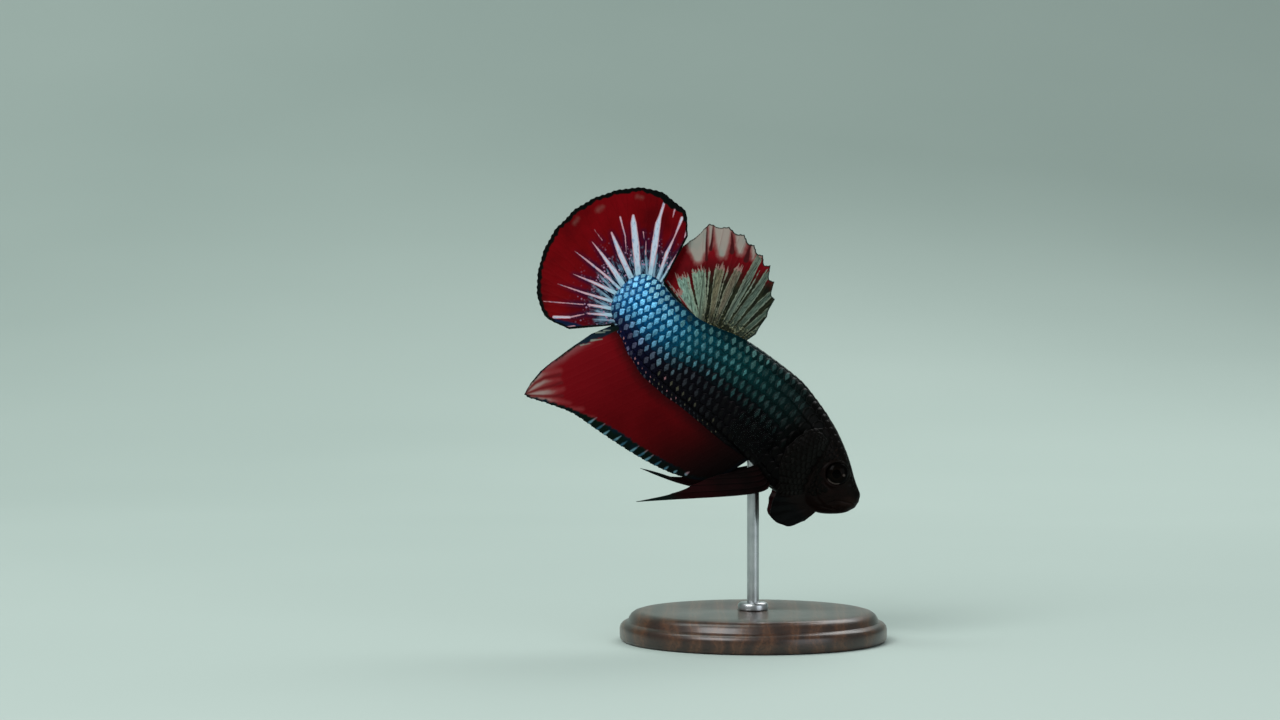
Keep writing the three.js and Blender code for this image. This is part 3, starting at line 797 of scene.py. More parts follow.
def math_node(tree, operation, a, b=0.0, c=0.0):
    return node(tree, "ShaderNodeMath", {"operation": operation}, {0: a, 1: b, 2: c}).outputs[0]


def scale_leaf(tree):
    """1 in a scale's bright leaf-shaped middle, which leans to the tail at its upper end, 0 at its edge."""
    place = node(tree, "ShaderNodeUVMap", {"uv_map": "ScaleMap"})
    parts = node(tree, "ShaderNodeSeparateXYZ", None, {0: place.outputs[0]})
    across = math_node(tree, "MULTIPLY_ADD", parts.outputs[0], 2.0, -1.0)
    wide = math_node(tree, "POWER", math_node(tree, "DIVIDE", math_node(tree, "ABSOLUTE", across), 0.8), 1.3)
    middle = math_node(tree, "MULTIPLY_ADD", across, 0.07, 0.76)
    bow = math_node(
        tree, "MULTIPLY", math_node(tree, "POWER", math_node(tree, "ABSOLUTE", across), 2.2), 0.17
    )
    middle = math_node(tree, "ADD", middle, bow)
    long = math_node(tree, "ABSOLUTE", math_node(tree, "SUBTRACT", parts.outputs[1], middle))
    long = math_node(tree, "POWER", math_node(tree, "DIVIDE", long, 0.15), 1.15)
    grit = math_node(tree, "MULTIPLY_ADD", noise(tree, object_place(tree), 2400.0, 2.0), 0.8, -0.4)
    leaf = math_node(tree, "SUBTRACT",
                     node(tree, "ShaderNodeAttribute", {"attribute_name": "Leaf"}).outputs["Fac"],
                     math_node(tree, "ADD", wide, long))
    return node(
        tree, "ShaderNodeMapRange", {"interpolation_type": "SMOOTHSTEP"},
        {"Value": math_node(tree, "ADD", leaf, grit), "From Min": -0.12, "From Max": 0.4},
    ).outputs[0]


def scale_colour(tree):
    """Bright leaf-shaped middle, dark edge."""
    shine = node(tree, "ShaderNodeAttribute", {"attribute_name": "Shine"}).outputs["Color"]
    net = node(tree, "ShaderNodeAttribute", {"attribute_name": "Net"}).outputs["Color"]
    colour = node(
        tree, "ShaderNodeMix", {"data_type": "RGBA"}, {0: scale_leaf(tree), 6: net, 7: shine}
    ).outputs[2]
    fleck = noise(tree, object_place(tree), 4200.0, 2.0, 0.6)
    tone = ramp(tree, fleck, [(0.3, 0.5), (0.7, 1.5)])
    return node(
        tree, "ShaderNodeMix", {"data_type": "RGBA", "blend_type": "MULTIPLY"}, {0: 1.0, 6: colour, 7: tone}
    ).outputs[2]


def scale_gloss(tree):
    return node(
        tree, "ShaderNodeMapRange", None,
        {"Value": noise(tree, object_place(tree), 2500.0, 2.0), "To Min": 0.3, "To Max": 0.48},
    ).outputs[0]


def scale_rings(tree):
    """Growth rings of the plate, about 0.12 mm apart, round its root."""
    place = node(tree, "ShaderNodeUVMap", {"uv_map": "ScaleMap"})
    shaped = node(
        tree, "ShaderNodeMapping", None,
        {"Vector": place.outputs[0], "Location": (-0.5, 0, 0), "Scale": (0.8, 1, 1)}
    ).outputs[0]
    return node(
        tree, "ShaderNodeTexWave", {"wave_type": "RINGS", "rings_direction": "Z"},
        {"Vector": shaped, "Scale": 5.5, "Distortion": 0.4},
    ).outputs["Fac"]


# Horn over a mirror layer of guanine: coloured sheen in the middle, and a faint wet gloss on top.
horny_scale = finish_material(
    "iridescent_scale", scale_colour, scale_gloss, (scale_rings, 0.005), Metallic=0.25,
    Specular_IOR_Level=0.04, Coat_Weight=0.02, Coat_Roughness=0.15,
)

# Where the rows run: the turn round the body at each equal share of the half girth.
line = np.linspace(9, 48.0, 260)
turns = np.linspace(0, np.pi, 120)
along_grid, turn_grid = np.meshgrid(line, turns, indexing="ij")
up_grid, out_grid = ring_point(along_grid, turn_grid, -SCALE_DEPTH)
steps = np.hypot(np.diff(up_grid, axis=1), np.diff(out_grid, axis=1))
girth = np.concatenate([np.zeros((len(line), 1)), np.cumsum(steps, axis=1)], axis=1)
row_turn = np.array([
    [np.interp(g[-1] * k / ROWS, g, turns) for k in range(ROWS + 1)] for g in girth
])
row_width = girth[:, -1] / ROWS

# Places along the fish at each whole pitch: a little closer towards the tail. Each row slips back against the
# one above it, more so towards the tail.
pitch_along = [9.0 - 5 * PITCH]
while pitch_along[-1] < 50:
    pitch_along.append(pitch_along[-1] + PITCH * (1 - 0.2 * ease(pitch_along[-1], 35, 47)))

body_roots = []
for row in range(ROWS + 1):
    middle = row in (0, ROWS)
    for step in range(60):
        place = step + row * SLIP
        if place > len(pitch_along) - 1:
            continue
        along = float(np.interp(place, np.arange(len(pitch_along)), pitch_along))
        pitch = PITCH * (1 - 0.2 * float(ease(along, 35, 47)))
        along += 0.3 * row * pitch * float(ease(along, 33, 47))
        if not 10.6 < along < 47.9:
            continue
        turn = float(np.interp(along, line, row_turn[:, row]))
        up, out = [float(v) for v in ring_point(np.array(along), np.array(turn), -SCALE_DEPTH)]
        under_fin = (row == 0 and 28 < along < 38) or (row == ROWS and 14 < along < 45)
        if under_fin or (up < 3.2 and along < 11.5):
            continue
        near = min(along, 43.4)
        up_before, up_after = [ring_point(np.array(near + d), np.array(turn))[0] for d in (-0.5, 0.5)]
        ahead = up_after - up_before
        rise = float(ahead) + 0.075 * (up + 0.3) * float(ease(along, 40, 47.5))
        width = float(np.interp(along, line, row_width))
        for side in ((0,) if middle else (1, -1)):
            start = in_room(along, up, side * out)
            tail = in_room(along + 1, up + rise, side * out) - start
            body_roots.append(
                (start, tail, SCALE_LENGTH * pitch, SCALE_WIDTH * max(width, 0.62), along, up, side)
            )

# Two rows of small scales on the sheath of the keel fin.
for row, share in enumerate((0.45, 0.85)):
    for along in np.arange(20.0 + 0.4 * row, 43.8, 0.86):
        along += rng.normal(0, 0.08)
        up = float(belly_line(along) + 0.9 - (0.9 + sheath_depth(along)) * share)
        for side in (1, -1):
            start = in_room(along, up, side * (0.45 - 0.2 * share))
            tail = in_room(along + 1, up - 0.45, side * (0.45 - 0.2 * share)) - start
            body_roots.append((start, tail, 1.25, 0.85, along, up, side))


def body_colours(along, height):
    count = len(along)
    shift = rng.normal(0, 0.025, count)
    shine = body_shine(along + rng.normal(0, 0.6, count), height + shift)
    shine *= np.exp(rng.normal(0, 0.17 + 0.15 * (1 - ease(along, 22, 34)), count))[:, None]
    net = body_net(along, height)
    leaf = 0.95 + 0.6 * ease(along, 31, 43) + rng.normal(0, 0.12, count)
    # On the low flank the bright middles are small and uneven, and some along the keel fin's root are
    # gold or rosy.
    low = height < low_line(along)
    leaf[low] -= 0.06
    shine[low] *= np.exp(rng.normal(0, 0.3, low.sum()))[:, None]
    root = (height < 0.1) & (along > 22)
    chance = rng.random(count)
    gold, rosy = root & (along < 37) & (chance < 0.4), root & (along > 29) & (chance > 0.6)
    shine[gold] = np.array(linear("#4e4a3e")[:3])
    shine[rosy] = np.array(linear("#93666c")[:3])
    leaf[gold | rosy] = rng.uniform(0.4, 0.75, (gold | rosy).sum())
    return shine, net, leaf


trunk_scales = lay_scales("body_scales", body_roots, 0.05, body_colours)

# Head scales: crown and nape, cheeks behind and under the eye, and the gill covers. They shrink to the face.
head_roots = []
for row, turn in enumerate(np.linspace(0, 1.3, 6)):
    along = 10.9 - 0.36 * (row % 2)
    while along > 3.3:
        pitch = 0.62 + 0.5 * float(ease(along, 4, 11))
        up, out = [float(v) for v in ring_point(np.array(along), np.array(turn))]
        if up > 3.0 + 0.9 * float(ease(along, 8.2, 9.4)):
            for side in ((0,) if row == 0 else (1, -1)):
                start = in_room(along, up, side * out)
                tail = in_room(along + 1, up + 0.3, side * out) - start
                head_roots.append((start, tail, 1.7 * pitch, 1.3 * pitch, along, up, side))
        along -= pitch
for row in range(10):
    up = -3.6 + 0.72 * row
    for step in range(9):
        along = 3.3 + 0.64 * step + 0.3 * (row % 2)
        hinge_along = 8.7 - 0.28 * max(0.0, 1.0 - up) - 0.03 * max(0.0, 1.0 - up) ** 2
        if math.hypot(along - EYE_ALONG, up - EYE_UP) < 2.35 or along > hinge_along or along < 4.2 - 0.4 * up:
            continue
        out = float(flank(np.array(along), np.array(up)))
        for side in (1, -1):
            start = in_room(along, up, side * out)
            tail = in_room(along + 1, up - 0.1, side * out) - start
            head_roots.append((start, tail, 1.12, 0.92, along, up, side))
for row, share in enumerate(np.linspace(0.06, 0.64, 13)):
    for step in range(6):
        reach = 0.14 + 0.13 * step + 0.06 * (row % 2)
        along, up, out = [float(v) for v in gill_point(np.array(share), np.array(reach))]
        along_2, up_2, out_2 = [float(v) for v in gill_point(np.array(share), np.array(reach + 0.1))]
        for side in (1, -1):
            start = in_room(along, up, side * (out + 0.3))
            tail = in_room(along_2, up_2, side * (out_2 + 0.3)) - start
            size = 0.72 + 0.28 * math.sin(math.pi * share / 0.7)
            head_roots.append((start, tail, 1.75 * size, 1.3 * size, along, up, side))


def head_colours(along, height):
    count = len(along)
    net = np.tile(linear("#060403")[:3], (count, 1))
    shine = blend(
        np.tile(linear("#110906")[:3], (count, 1)), np.array(linear("#0a0908")[:3]), ease(along, 6, 11)
    )
    shine *= np.exp(rng.normal(0, 0.25, count))[:, None]
    return shine, net, np.full(count, 0.95)


face_scales = lay_scales("head_scales", head_roots, 0.03, head_colours)

# ---------------------------------------------------------------------------
# Eyes: round balls set in their sockets, flattened outwards, dark iris round
# a black pupil with a painted highlight low on it, under a faint wet gloss.
# ---------------------------------------------------------------------------
def iris_colour(tree):
    """Black pupil, a thin dark brown ring, a brown-black iris; low in it a painted highlight: dull pale half
    moon.
    """
    ring = node(tree, "ShaderNodeAttribute", {"attribute_name": "Ring"}).outputs["Fac"]
    moon = node(tree, "ShaderNodeAttribute", {"attribute_name": "EyeGlint"}).outputs["Fac"]
    streaks = noise(tree, object_place(tree), 3200.0, 3.0, 0.6)
    ring = math_node(tree, "ADD", ring, math_node(tree, "MULTIPLY_ADD", streaks, 0.1, -0.05))
    moon = math_node(tree, "ADD", moon, math_node(tree, "MULTIPLY_ADD", streaks, 0.3, -0.15))
    iris = ramp(tree, ring, [
        (0.0, "#010101"), (0.37, "#010101"), (0.4, "#120c08"), (0.44, "#080503"), (0.6, "#060403"),
        (0.7, "#050403"), (0.82, "#030202"), (1.0, "#020202"),
    ])
    lit = node(tree, "ShaderNodeMapRange", {"interpolation_type": "SMOOTHSTEP"},
               {"Value": moon, "From Min": 0.0, "From Max": 0.5}).outputs[0]
    return node(
        tree, "ShaderNodeMix", {"data_type": "RGBA"}, {0: lit, 6: iris, 7: linear("#463e3b")}
    ).outputs[2]


def wet_gloss(tree):
    return 0.14


# Cornea over iris: a faint water gloss over a dark ring.
eye_wet = finish_material(
    "wet_eye", iris_colour, wet_gloss, None, Specular_IOR_Level=0.02, Coat_Weight=0.02, Coat_Roughness=0.1,
    IOR=1.38
)

GLINT_TURN = math.radians(249)  # the place round the ball of the painted half moon

for name, side in (("left", 1), ("right", -1)):
    bpy.ops.object.select_all(action="DESELECT")
    sunk = float(flank(np.array(EYE_ALONG), np.array(EYE_UP))) - EYE_SUNK
    centre = in_room(EYE_ALONG, EYE_UP, side * sunk) * MM
    bpy.ops.mesh.primitive_uv_sphere_add(
        segments=72, ring_count=40, radius=EYE_RADIUS * MM, location=(0, 0, 0)
    )
    eye = bpy.context.object
    eye.name = eye.data.name = "eyeball_" + name
    bpy.ops.object.mode_set(mode="EDIT")
    bpy.ops.mesh.select_all(action="SELECT")
    bpy.ops.transform.rotate(value=math.radians(90), orient_axis="X", center_override=(0, 0, 0))
    bpy.ops.transform.resize(value=(1, EYE_FLATNESS, 1), center_override=(0, 0, 0))
    bpy.ops.transform.translate(value=tuple(centre))
    bpy.ops.object.mode_set(mode="OBJECT")
    bpy.ops.object.shade_smooth()
    from_axis = read_points(eye.data) - centre
    far_out = np.hypot(from_axis[:, 0], from_axis[:, 2]) / (EYE_RADIUS * MM)
    store(eye.data, "Ring", far_out)
    # Painted highlight: a pale half moon low near the rim of the iris, and a small pale dot.
    low_rear = np.cos(np.arctan2(from_axis[:, 2], from_axis[:, 0]) - GLINT_TURN)
    moon = 1 - np.abs(far_out - 0.8) / 0.075 - 5 * np.maximum(0, 0.86 - low_rear)
    fleck = 1 - np.hypot(from_axis[:, 0] / MM - 1.1, from_axis[:, 2] / MM + 0.2) / 0.26
    store(eye.data, "EyeGlint", np.maximum(moon, fleck))
    eye.data.materials.append(eye_wet)
    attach(eye, "root")
    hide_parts("eye_" + name)

# ---------------------------------------------------------------------------
# Fins: thin webs on fans of branching bony rays, rooted in the flesh. Each is
# one closed sheet, thicker along the rays. The middle fins are red, with pale
# streaks, silver-green wedges and dark hems; the breast fins are nearly black
# and the side fins clear.
# ---------------------------------------------------------------------------


def fin_rays(u, v, rays, split, split_again):
    """Distance from the nearest ray line, in shares of the gap between rays, and the place across it."""
    gap = u * (rays - 1)
    across = gap - np.round(gap)
    first = 0.25 * ease(v, split, split + 0.35)
    second = 0.125 * ease(v, split_again, split_again + 0.3)
    return np.abs(np.abs(np.abs(across) - first) - second), across


def fin_sheet(name, shape, columns, lines):
    """Builds a fin. Gives the piece and its plan: u across the rays, v along them, places on the fish,
    distances in mm."""
    u, v = np.meshgrid(np.linspace(0, 1, columns), np.linspace(0, 1, lines) ** 0.9, indexing="ij")
    root, tip, rays, side = shape["root"](u), shape["tip"](u), shape["rays"], shape.get("side", 1)
    away, across = fin_rays(u, v, rays, shape.get("split", 0.35), shape.get("split_again", 0.66))
    notch = shape["notch"] + shape.get("front_notch", 0) * (1 - ease(u, 0.3, 0.5))
    reach = v * (1 - notch * np.abs(np.sin(np.pi * u * (rays - 1))) * v**2)
    reach *= 1 - shape.get("fringe", 0.008) * ease(v, 0.9, 1) * ease(away, 0.0, 0.12)
    bow = shape["bow"](u, v) if "bow" in shape else 0
    along = root[..., 0] + (tip[..., 0] - root[..., 0]) * reach - bow
    up = root[..., 1] + (tip[..., 1] - root[..., 1]) * reach - bow
    out = root[..., 2] + (tip[..., 2] - root[..., 2]) * reach + shape["wave"](u, v)
    middle = in_room(along, up, side * out)
    gap_mm = np.linalg.norm(np.gradient(middle, axis=0), axis=2) * (columns - 1) / (rays - 1)
    ray_mm = away * gap_mm
    web = shape["web"] + (shape["hem"] - shape["web"]) * v
    ridge = shape["ridge"] * (1 - 0.55 * v) * np.exp(-((ray_mm / 0.13) ** 2))
    points, faces = plate_shape(
        middle if side > 0 else middle[::-1], (web + ridge) if side > 0 else (web + ridge)[::-1]
    )
    piece = make_piece(name, points, faces)
    rim_line = np.concatenate([
        np.stack([along[0], up[0]], -1)[8:], np.stack([along[:, -1], up[:, -1]], -1),
        np.stack([along[-1], up[-1]], -1)[:8:-1],
    ])[::2]
    flat = np.stack([along, up], -1).reshape(-1, 2)
    hem = np.concatenate([
        np.sqrt(((part[:, None] - rim_line[None]) ** 2).sum(-1)).min(1) for part in np.array_split(flat, 40)
    ]).reshape(u.shape)
    length = np.concatenate([
        np.zeros((columns, 1)), np.cumsum(np.linalg.norm(np.diff(middle, axis=1), axis=2), axis=1)
    ], axis=1)
    plan = {
        "u": u, "v": v, "along": along, "up": up, "hem": hem, "root": length, "ray": ray_mm,
        "across": across, "gap": gap_mm, "flip": side < 0,
    }
    for name_of, field in (("FinHem", "hem"), ("FinRoot", "root"), ("FinRay", "ray"), ("FinFan", "u")):
        keep_on(piece, name_of, plan[field], plan)
    corner = np.zeros(len(piece.data.loops), np.int32)
    piece.data.loops.foreach_get("vertex_index", corner)
    size = max(np.ptp(along), np.ptp(up)) * 1.05
    flat = np.stack([(along - along.min()) / size, (up - up.min()) / size], -1) * 0.48 + 0.01
    flat = (flat[::-1] if side < 0 else flat).reshape(-1, 2)
    both = np.concatenate([flat, flat + 0.5])
    bake_map = piece.data.uv_layers.new(name="OFBake")
    face_side = np.repeat((np.arange(len(faces)) >= (columns - 1) * (lines - 1)) & (
        np.arange(len(faces)) < 2 * (columns - 1) * (lines - 1)), 4)
    place = np.where(face_side[:, None], both[(corner % len(flat)) + len(flat)], both[corner % len(flat)])
    bake_map.data.foreach_set("uv", place.astype(np.float32).ravel())
    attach(piece, "root")
    return piece, plan


def keep_on(piece, name, values, plan):
    """Stores a field of the plan on both faces of a fin."""
    values = np.asarray(values)[::-1] if plan["flip"] else np.asarray(values)
    store(piece.data, name, np.tile(values.reshape(-1), 2))


def stroke(plan, *line, blunt=False):
    """How far inside a painted stroke each place is, in mm: its line is of (along, up, half width). A
    blunt one ends square, in fingers along the rays."""
    inside_by = np.full(plan["u"].shape, -1e3)
    for a, b in zip(line[:-1], line[1:]):
        d_along, d_up = b[0] - a[0], b[1] - a[1]
        t = ((plan["along"] - a[0]) * d_along + (plan["up"] - a[1]) * d_up) / (d_along**2 + d_up**2)
        past_end = (t - 1) * math.hypot(d_along, d_up)
        t = np.clip(t, 0, 1)
        far = np.hypot(plan["along"] - a[0] - t * d_along, plan["up"] - a[1] - t * d_up)
        inside_by = np.maximum(inside_by, a[2] + (b[2] - a[2]) * t - far)
    fan = plan["u"]
    fingers = 0.4 * np.sin(330 * fan) * np.sin(71 * fan + 1) + 0.2 * np.sin(520 * fan + 2)
    return np.minimum(inside_by, 2 * (fingers - past_end)) if blunt else inside_by


def strokes(plan, lines, blunt=False):
    return np.max([stroke(plan, *line, blunt=blunt) for line in lines], axis=0)


def read_field(tree, name):
    return node(tree, "ShaderNodeAttribute", {"attribute_name": name}).outputs["Fac"]


def fan_place(tree, threads, marks):
    """Coordinates that run with the rays: threads over the whole fan, and marks to a mm of ray."""
    across = math_node(tree, "MULTIPLY", read_field(tree, "FinFan"), threads)
    out_along = math_node(tree, "MULTIPLY", read_field(tree, "FinRoot"), marks)
    return node(tree, "ShaderNodeCombineXYZ", None, {0: across, 1: out_along}).outputs[0]


def over(tree, factor, below, above):
    """One colour laid over another; each is an output or a hex colour."""
    below, above = [linear(c) if isinstance(c, str) else c for c in (below, above)]
    return node(tree, "ShaderNodeMix", {"data_type": "RGBA"}, {0: factor, 6: below, 7: above}).outputs[2]


def inside(tree, value, low, high, ragged=0.0, grain=1400.0):
    """0 below low and 1 above high, with its border made ragged by that many mm of noise."""
    if ragged:
        rough = noise(tree, object_place(tree), grain, 3.0, 0.6)
        value = math_node(tree, "ADD", value, math_node(tree, "MULTIPLY_ADD", rough, 2 * ragged, -ragged))
    return node(
        tree, "ShaderNodeMapRange", {"interpolation_type": "SMOOTHSTEP"},
        {"Value": value, "From Min": low, "From Max": high},
    ).outputs[0]


def red_web(tree, dark, mid, light, ray_share=0.3):
    """The web's red: cloudy, a little darker along the rays."""
    cloud = noise(tree, object_place(tree), 200.0, 4.0, 0.5)
    colour = ramp(tree, cloud, [(0.3, dark), (0.5, mid), (0.72, light)])
    ray = inside(tree, read_field(tree, "FinRay"), 0.14, 0.02)
    return over(tree, math_node(tree, "MULTIPLY", ray, ray_share), colour, dark)


def fin_gloss(tree):
    return node(
        tree, "ShaderNodeMapRange", None,
        {"Value": noise(tree, object_place(tree), 900.0, 3.0), "To Min": 0.4, "To Max": 0.6},
    ).outputs[0]


def fin_grain(tree):
    """Segments of the rays and creases of the web, about 0.26 mm apart."""
    return noise(tree, object_place(tree), 3800.0, 3.0, 0.6)


def fin_material(name, colour, **more):
    return finish_material(name, colour, fin_gloss, (fin_grain, 0.01), Specular_IOR_Level=0.03, **more)


# Tail fin: a half-round fan.
TAIL_CENTRE = (47.1, 0.95)
TAIL_FAN = 14.5
TAIL_RAYS = 13
fan_angles = np.linspace(-77, 96, TAIL_RAYS)
fan_tips = []
for step, angle in enumerate(fan_angles):
    reach = TAIL_FAN + 0.5 * math.exp(-(((angle - 56) / 18) ** 2))
    reach -= 0.004 * max(0, -angle - 50) ** 2 + 0.0055 * max(0, angle - 72) ** 2
    turn = math.radians(angle)
    fan_tips.append([
        step / (TAIL_RAYS - 1),
        TAIL_CENTRE[0] + reach * math.cos(turn), TAIL_CENTRE[1] + reach * math.sin(turn), 0,
    ])
tail_shape = {
    "root": smooth_curve([
        [0, 44.6, -4.8, 0], [0.2, 45.8, -3.8, 0], [0.4, 46.9, -1.8, 0], [0.5, 47.2, -0.2, 0],
        [0.62, 46.9, 1.6, 0], [0.8, 45.4, 3.4, 0], [1, 43.6, 3.8, 0],
    ]),
    "tip": smooth_curve(fan_tips),
    "rays": TAIL_RAYS, "notch": 0.009, "web": 0.2, "hem": 0.07, "ridge": 0.1,
    "wave": lambda u, v: 1.1 * v**2 * np.sin(2.4 * np.pi * u + 0.4) - 0.9 * u**2 * v,
}
tail_fin, plan = fin_sheet("tail_fin", tail_shape, 313, 96)
TAIL_STREAKS = [  # (along, up, half width)
    [(45.7, 3.4, 0.3), (46.6, 4.7, 0.34), (48.6, 7.7, 0.52), (50.5, 10.5, 0.42), (51.0, 11.5, 0.26),
    (52.1, 13.8, 0.18)],
    [(46.6, 2.0, 0.34), (47.7, 3.0, 0.42), (50.7, 5.8, 0.56), (53.3, 8.1, 0.46), (54.1, 8.9, 0.2)],
    [(46.6, 1.2, 0.34), (48.3, 1.9, 0.4), (51.4, 3.2, 0.42), (53.5, 4.2, 0.28), (54.8, 4.8, 0.14)],
    [(46.4, -0.4, 0.36), (48.1, 0.1, 0.42), (50.6, 0.8, 0.4), (53.6, 1.4, 0.22), (56.0, 1.8, 0.05)],
    [(46.4, -0.6, 0.2), (48.4, -0.6, 0.2), (51.3, -0.6, 0.2), (54.6, -0.8, 0.14), (57.0, -1.0, 0.04)],
    [(46.6, -1.1, 0.3), (48.4, -1.6, 0.3), (51.1, -2.4, 0.24), (54.8, -3.7, 0.05)],
    [(46.5, -2.2, 0.24), (48.3, -3.1, 0.24), (52.1, -4.9, 0.14), (55.6, -6.4, 0.04)],
    [(46.3, -3.2, 0.26), (47.7, -4.1, 0.26), (50.0, -5.6, 0.14)], [(50.6, -6.1, 0.08), (55.4, -9.8, 0.07)],
    [(45.8, -3.9, 0.26), (47.0, -4.9, 0.26), (49.1, -6.6, 0.12)], [(49.5, -7.1, 0.07), (50.8, -8.9, 0.12)],
    [(44.9, 4.2, 0.2), (45.3, 5.3, 0.2), (46.5, 8.1, 0.28), (47.3, 10.7, 0.1), (48.4, 13.6, 0.26)],
    [(44.3, 4.3, 0.16), (44.5, 5.6, 0.18), (44.9, 7.6, 0.24), (45.4, 10.6, 0.2), (45.9, 12.2, 0.12)],
    [(49.5, 12.7, 0.05), (50.3, 14.2, 0.17)],
    [(51.0, 4.0, 0.03), (52.9, 5.8, 0.1), (55.4, 7.4, 0.14)], [(50.5, 7.4, 0.03), (51.3, 8.1, 0.1)],
    [(48.7, 5.8, 0.09), (50.1, 7.4, 0.04)], [(55.0, 3.0, 0.06), (57.1, 3.4, 0.03)],
    [(46.1, 11.7, 0.12), (46.8, 12.9, 0.12)], [(52.6, -10.5, 0.24), (50.8, -8.9, 0.2)],
    [(50.4, -10.6, 0.14), (49.3, -9.3, 0.08)],
]
keep_on(tail_fin, "Pale", strokes(plan, TAIL_STREAKS), plan)
lobe_end = np.hypot(plan["along"] - 41.5, (plan["up"] + 0.1) / 0.86) - 6.6
keep_on(tail_fin, "PastLobe", lobe_end, plan)
navy = stroke(plan, (52.4, -11.2, 0.6), (50.0, -9.7, 0.45), (48.6, -8.6, 0.1))
keep_on(tail_fin, "Navy", navy, plan)
fan = plan["u"]
hem_width = 0.6 + 0.1 * np.sin(fan * 61) * np.sin(fan * 23 + 1) + 0.07 * np.sin(fan * 190)
hem_width += 0.4 * ease(fan, 0.76, 0.82) * (1 - ease(fan, 0.87, 0.93)) - 0.3 * ease(fan, 0.92, 0.97)
hem_width -= 0.35 * (1 - ease(fan, 0.04, 0.12))
keep_on(tail_fin, "InHem", hem_width - plan["hem"], plan)
# Painted highlights: soft glints on the black hem.
glint = strokes(plan, [
    [(58.4, 6.7, 0.3), (58.6, 5.9, 0.35)], [(60.0, 2.9, 0.25), (59.9, 2.1, 0.25)],
    [(55.6, 11.4, 0.2), (54.9, 11.8, 0.2)],
])
keep_on(tail_fin, "Glint", glint, plan)


def tail_colour(tree):
    colour = red_web(tree, "#4f0106", "#660308", "#73040c", 0.2)
    past = read_field(tree, "PastLobe")
    ray = read_field(tree, "FinRay")
    pale = read_field(tree, "Pale")
    # The web goes wine and then navy towards the lobe, and darkest along the pale streaks.
    wine = inside(tree, past, 8.0, 1.5, 1.5, 500.0)
    colour = over(tree, math_node(tree, "MULTIPLY", wine, 0.75), colour, "#260619")
    beside = math_node(tree, "MULTIPLY", inside(tree, pale, -0.75, -0.05), inside(tree, past, 10.0, 5.0))
    colour = over(tree, math_node(tree, "MULTIPLY", beside, 0.75), colour, "#1d0a2a")
    # Where the scaled lobe ends the web is blue-grey along the rays, dark between them, and breaks up into
    # dots.
    fringe = inside(tree, past, 4.6, 1.6, 2.4, 1500.0)
    threads = noise(tree, fan_place(tree, 90.0, 0.7), 1.0, 2.0, 0.6)
    lines = over(tree, inside(tree, threads, 0.48, 0.6), "#0f1326", "#587b92")
    lines = over(tree, inside(tree, ray, 0.22, 0.1, 0.12, 2200.0), lines, "#7896ab")
    colour = over(tree, fringe, colour, lines)
    cells = node(
        tree, "ShaderNodeTexVoronoi", None, {"Vector": object_place(tree), "Scale": 1900.0, "Randomness": 1.0}
    ).outputs["Distance"]
    patchy = inside(tree, noise(tree, object_place(tree), 420.0, 2.0), 0.46, 0.56)
    dots = math_node(tree, "MULTIPLY", inside(tree, cells, 0.34, 0.2), inside(tree, past, 7.4, 4.0))
    colour = over(tree, math_node(tree, "MULTIPLY", dots, patchy), colour, "#9a7893")
    # Streaks: bluish white, rose where they are thin.
    core = over(tree, inside(tree, pale, 0.04, 0.22), "#c68f98", "#bcc9da")
    core = over(tree, inside(tree, past, 2.6, 0.4), core, "#9cc0d2")
    core = over(
        tree, inside(tree, noise(tree, fan_place(tree, 110.0, 1.2), 1.0, 2.0), 0.5, 0.75), core, "#8495b4"
    )
    colour = over(tree, inside(tree, read_field(tree, "Navy"), -0.15, 0.2, 0.1), colour, "#0c1a36")
    colour = over(tree, inside(tree, pale, -0.04, 0.06, 0.05, 2400.0), colour, core)
    # The glints on the hem: painted highlights.
    soft = inside(tree, read_field(tree, "Glint"), -0.4, 0.6, 0.35, 1100.0)
    colour = over(tree, math_node(tree, "MULTIPLY", soft, 0.4), colour, "#7c5a54")
    return over(tree, inside(tree, read_field(tree, "InHem"), -0.12, 0.08, 0.14, 1800.0), colour, "#050908")


tail_fin.data.materials.append(fin_material("red_tail_web", tail_colour))
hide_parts("caudal_fin")

# Back fin: a short fan of stiff rays, silver-green wedges below, red and clear web above.
back_shape = {
    "root": smooth_curve([[0, 28.9, 6.0, 0], [1, 37.6, 3.2, 0]]),
    "tip": smooth_curve([
        [0, 28.4, 8.1, 0], [0.09, 28.9, 11.2, 0], [0.18, 29.8, 14.0, 0], [0.27, 31.6, 15.9, 0],
        [0.36, 33.7, 17.4, 0], [0.5, 36.6, 17.9, 0], [0.64, 39.9, 18.2, 0], [0.73, 42.4, 17.5, 0],
        [0.82, 44.9, 15.8, 0], [0.91, 45.5, 10.6, 0], [1, 44.5, 4.5, 0],
    ]),
    "rays": 12, "notch": 0.04, "front_notch": 0.055, "web": 0.2, "hem": 0.07, "ridge": 0.16, "split": 0.45,
    "split_again": 2.0,
    "wave": lambda u, v: 0.5 * v * np.sin(5 * u) + 1.9 * u**2 * v,
}
back_fin, plan = fin_sheet("back_fin", back_shape, 265, 84)
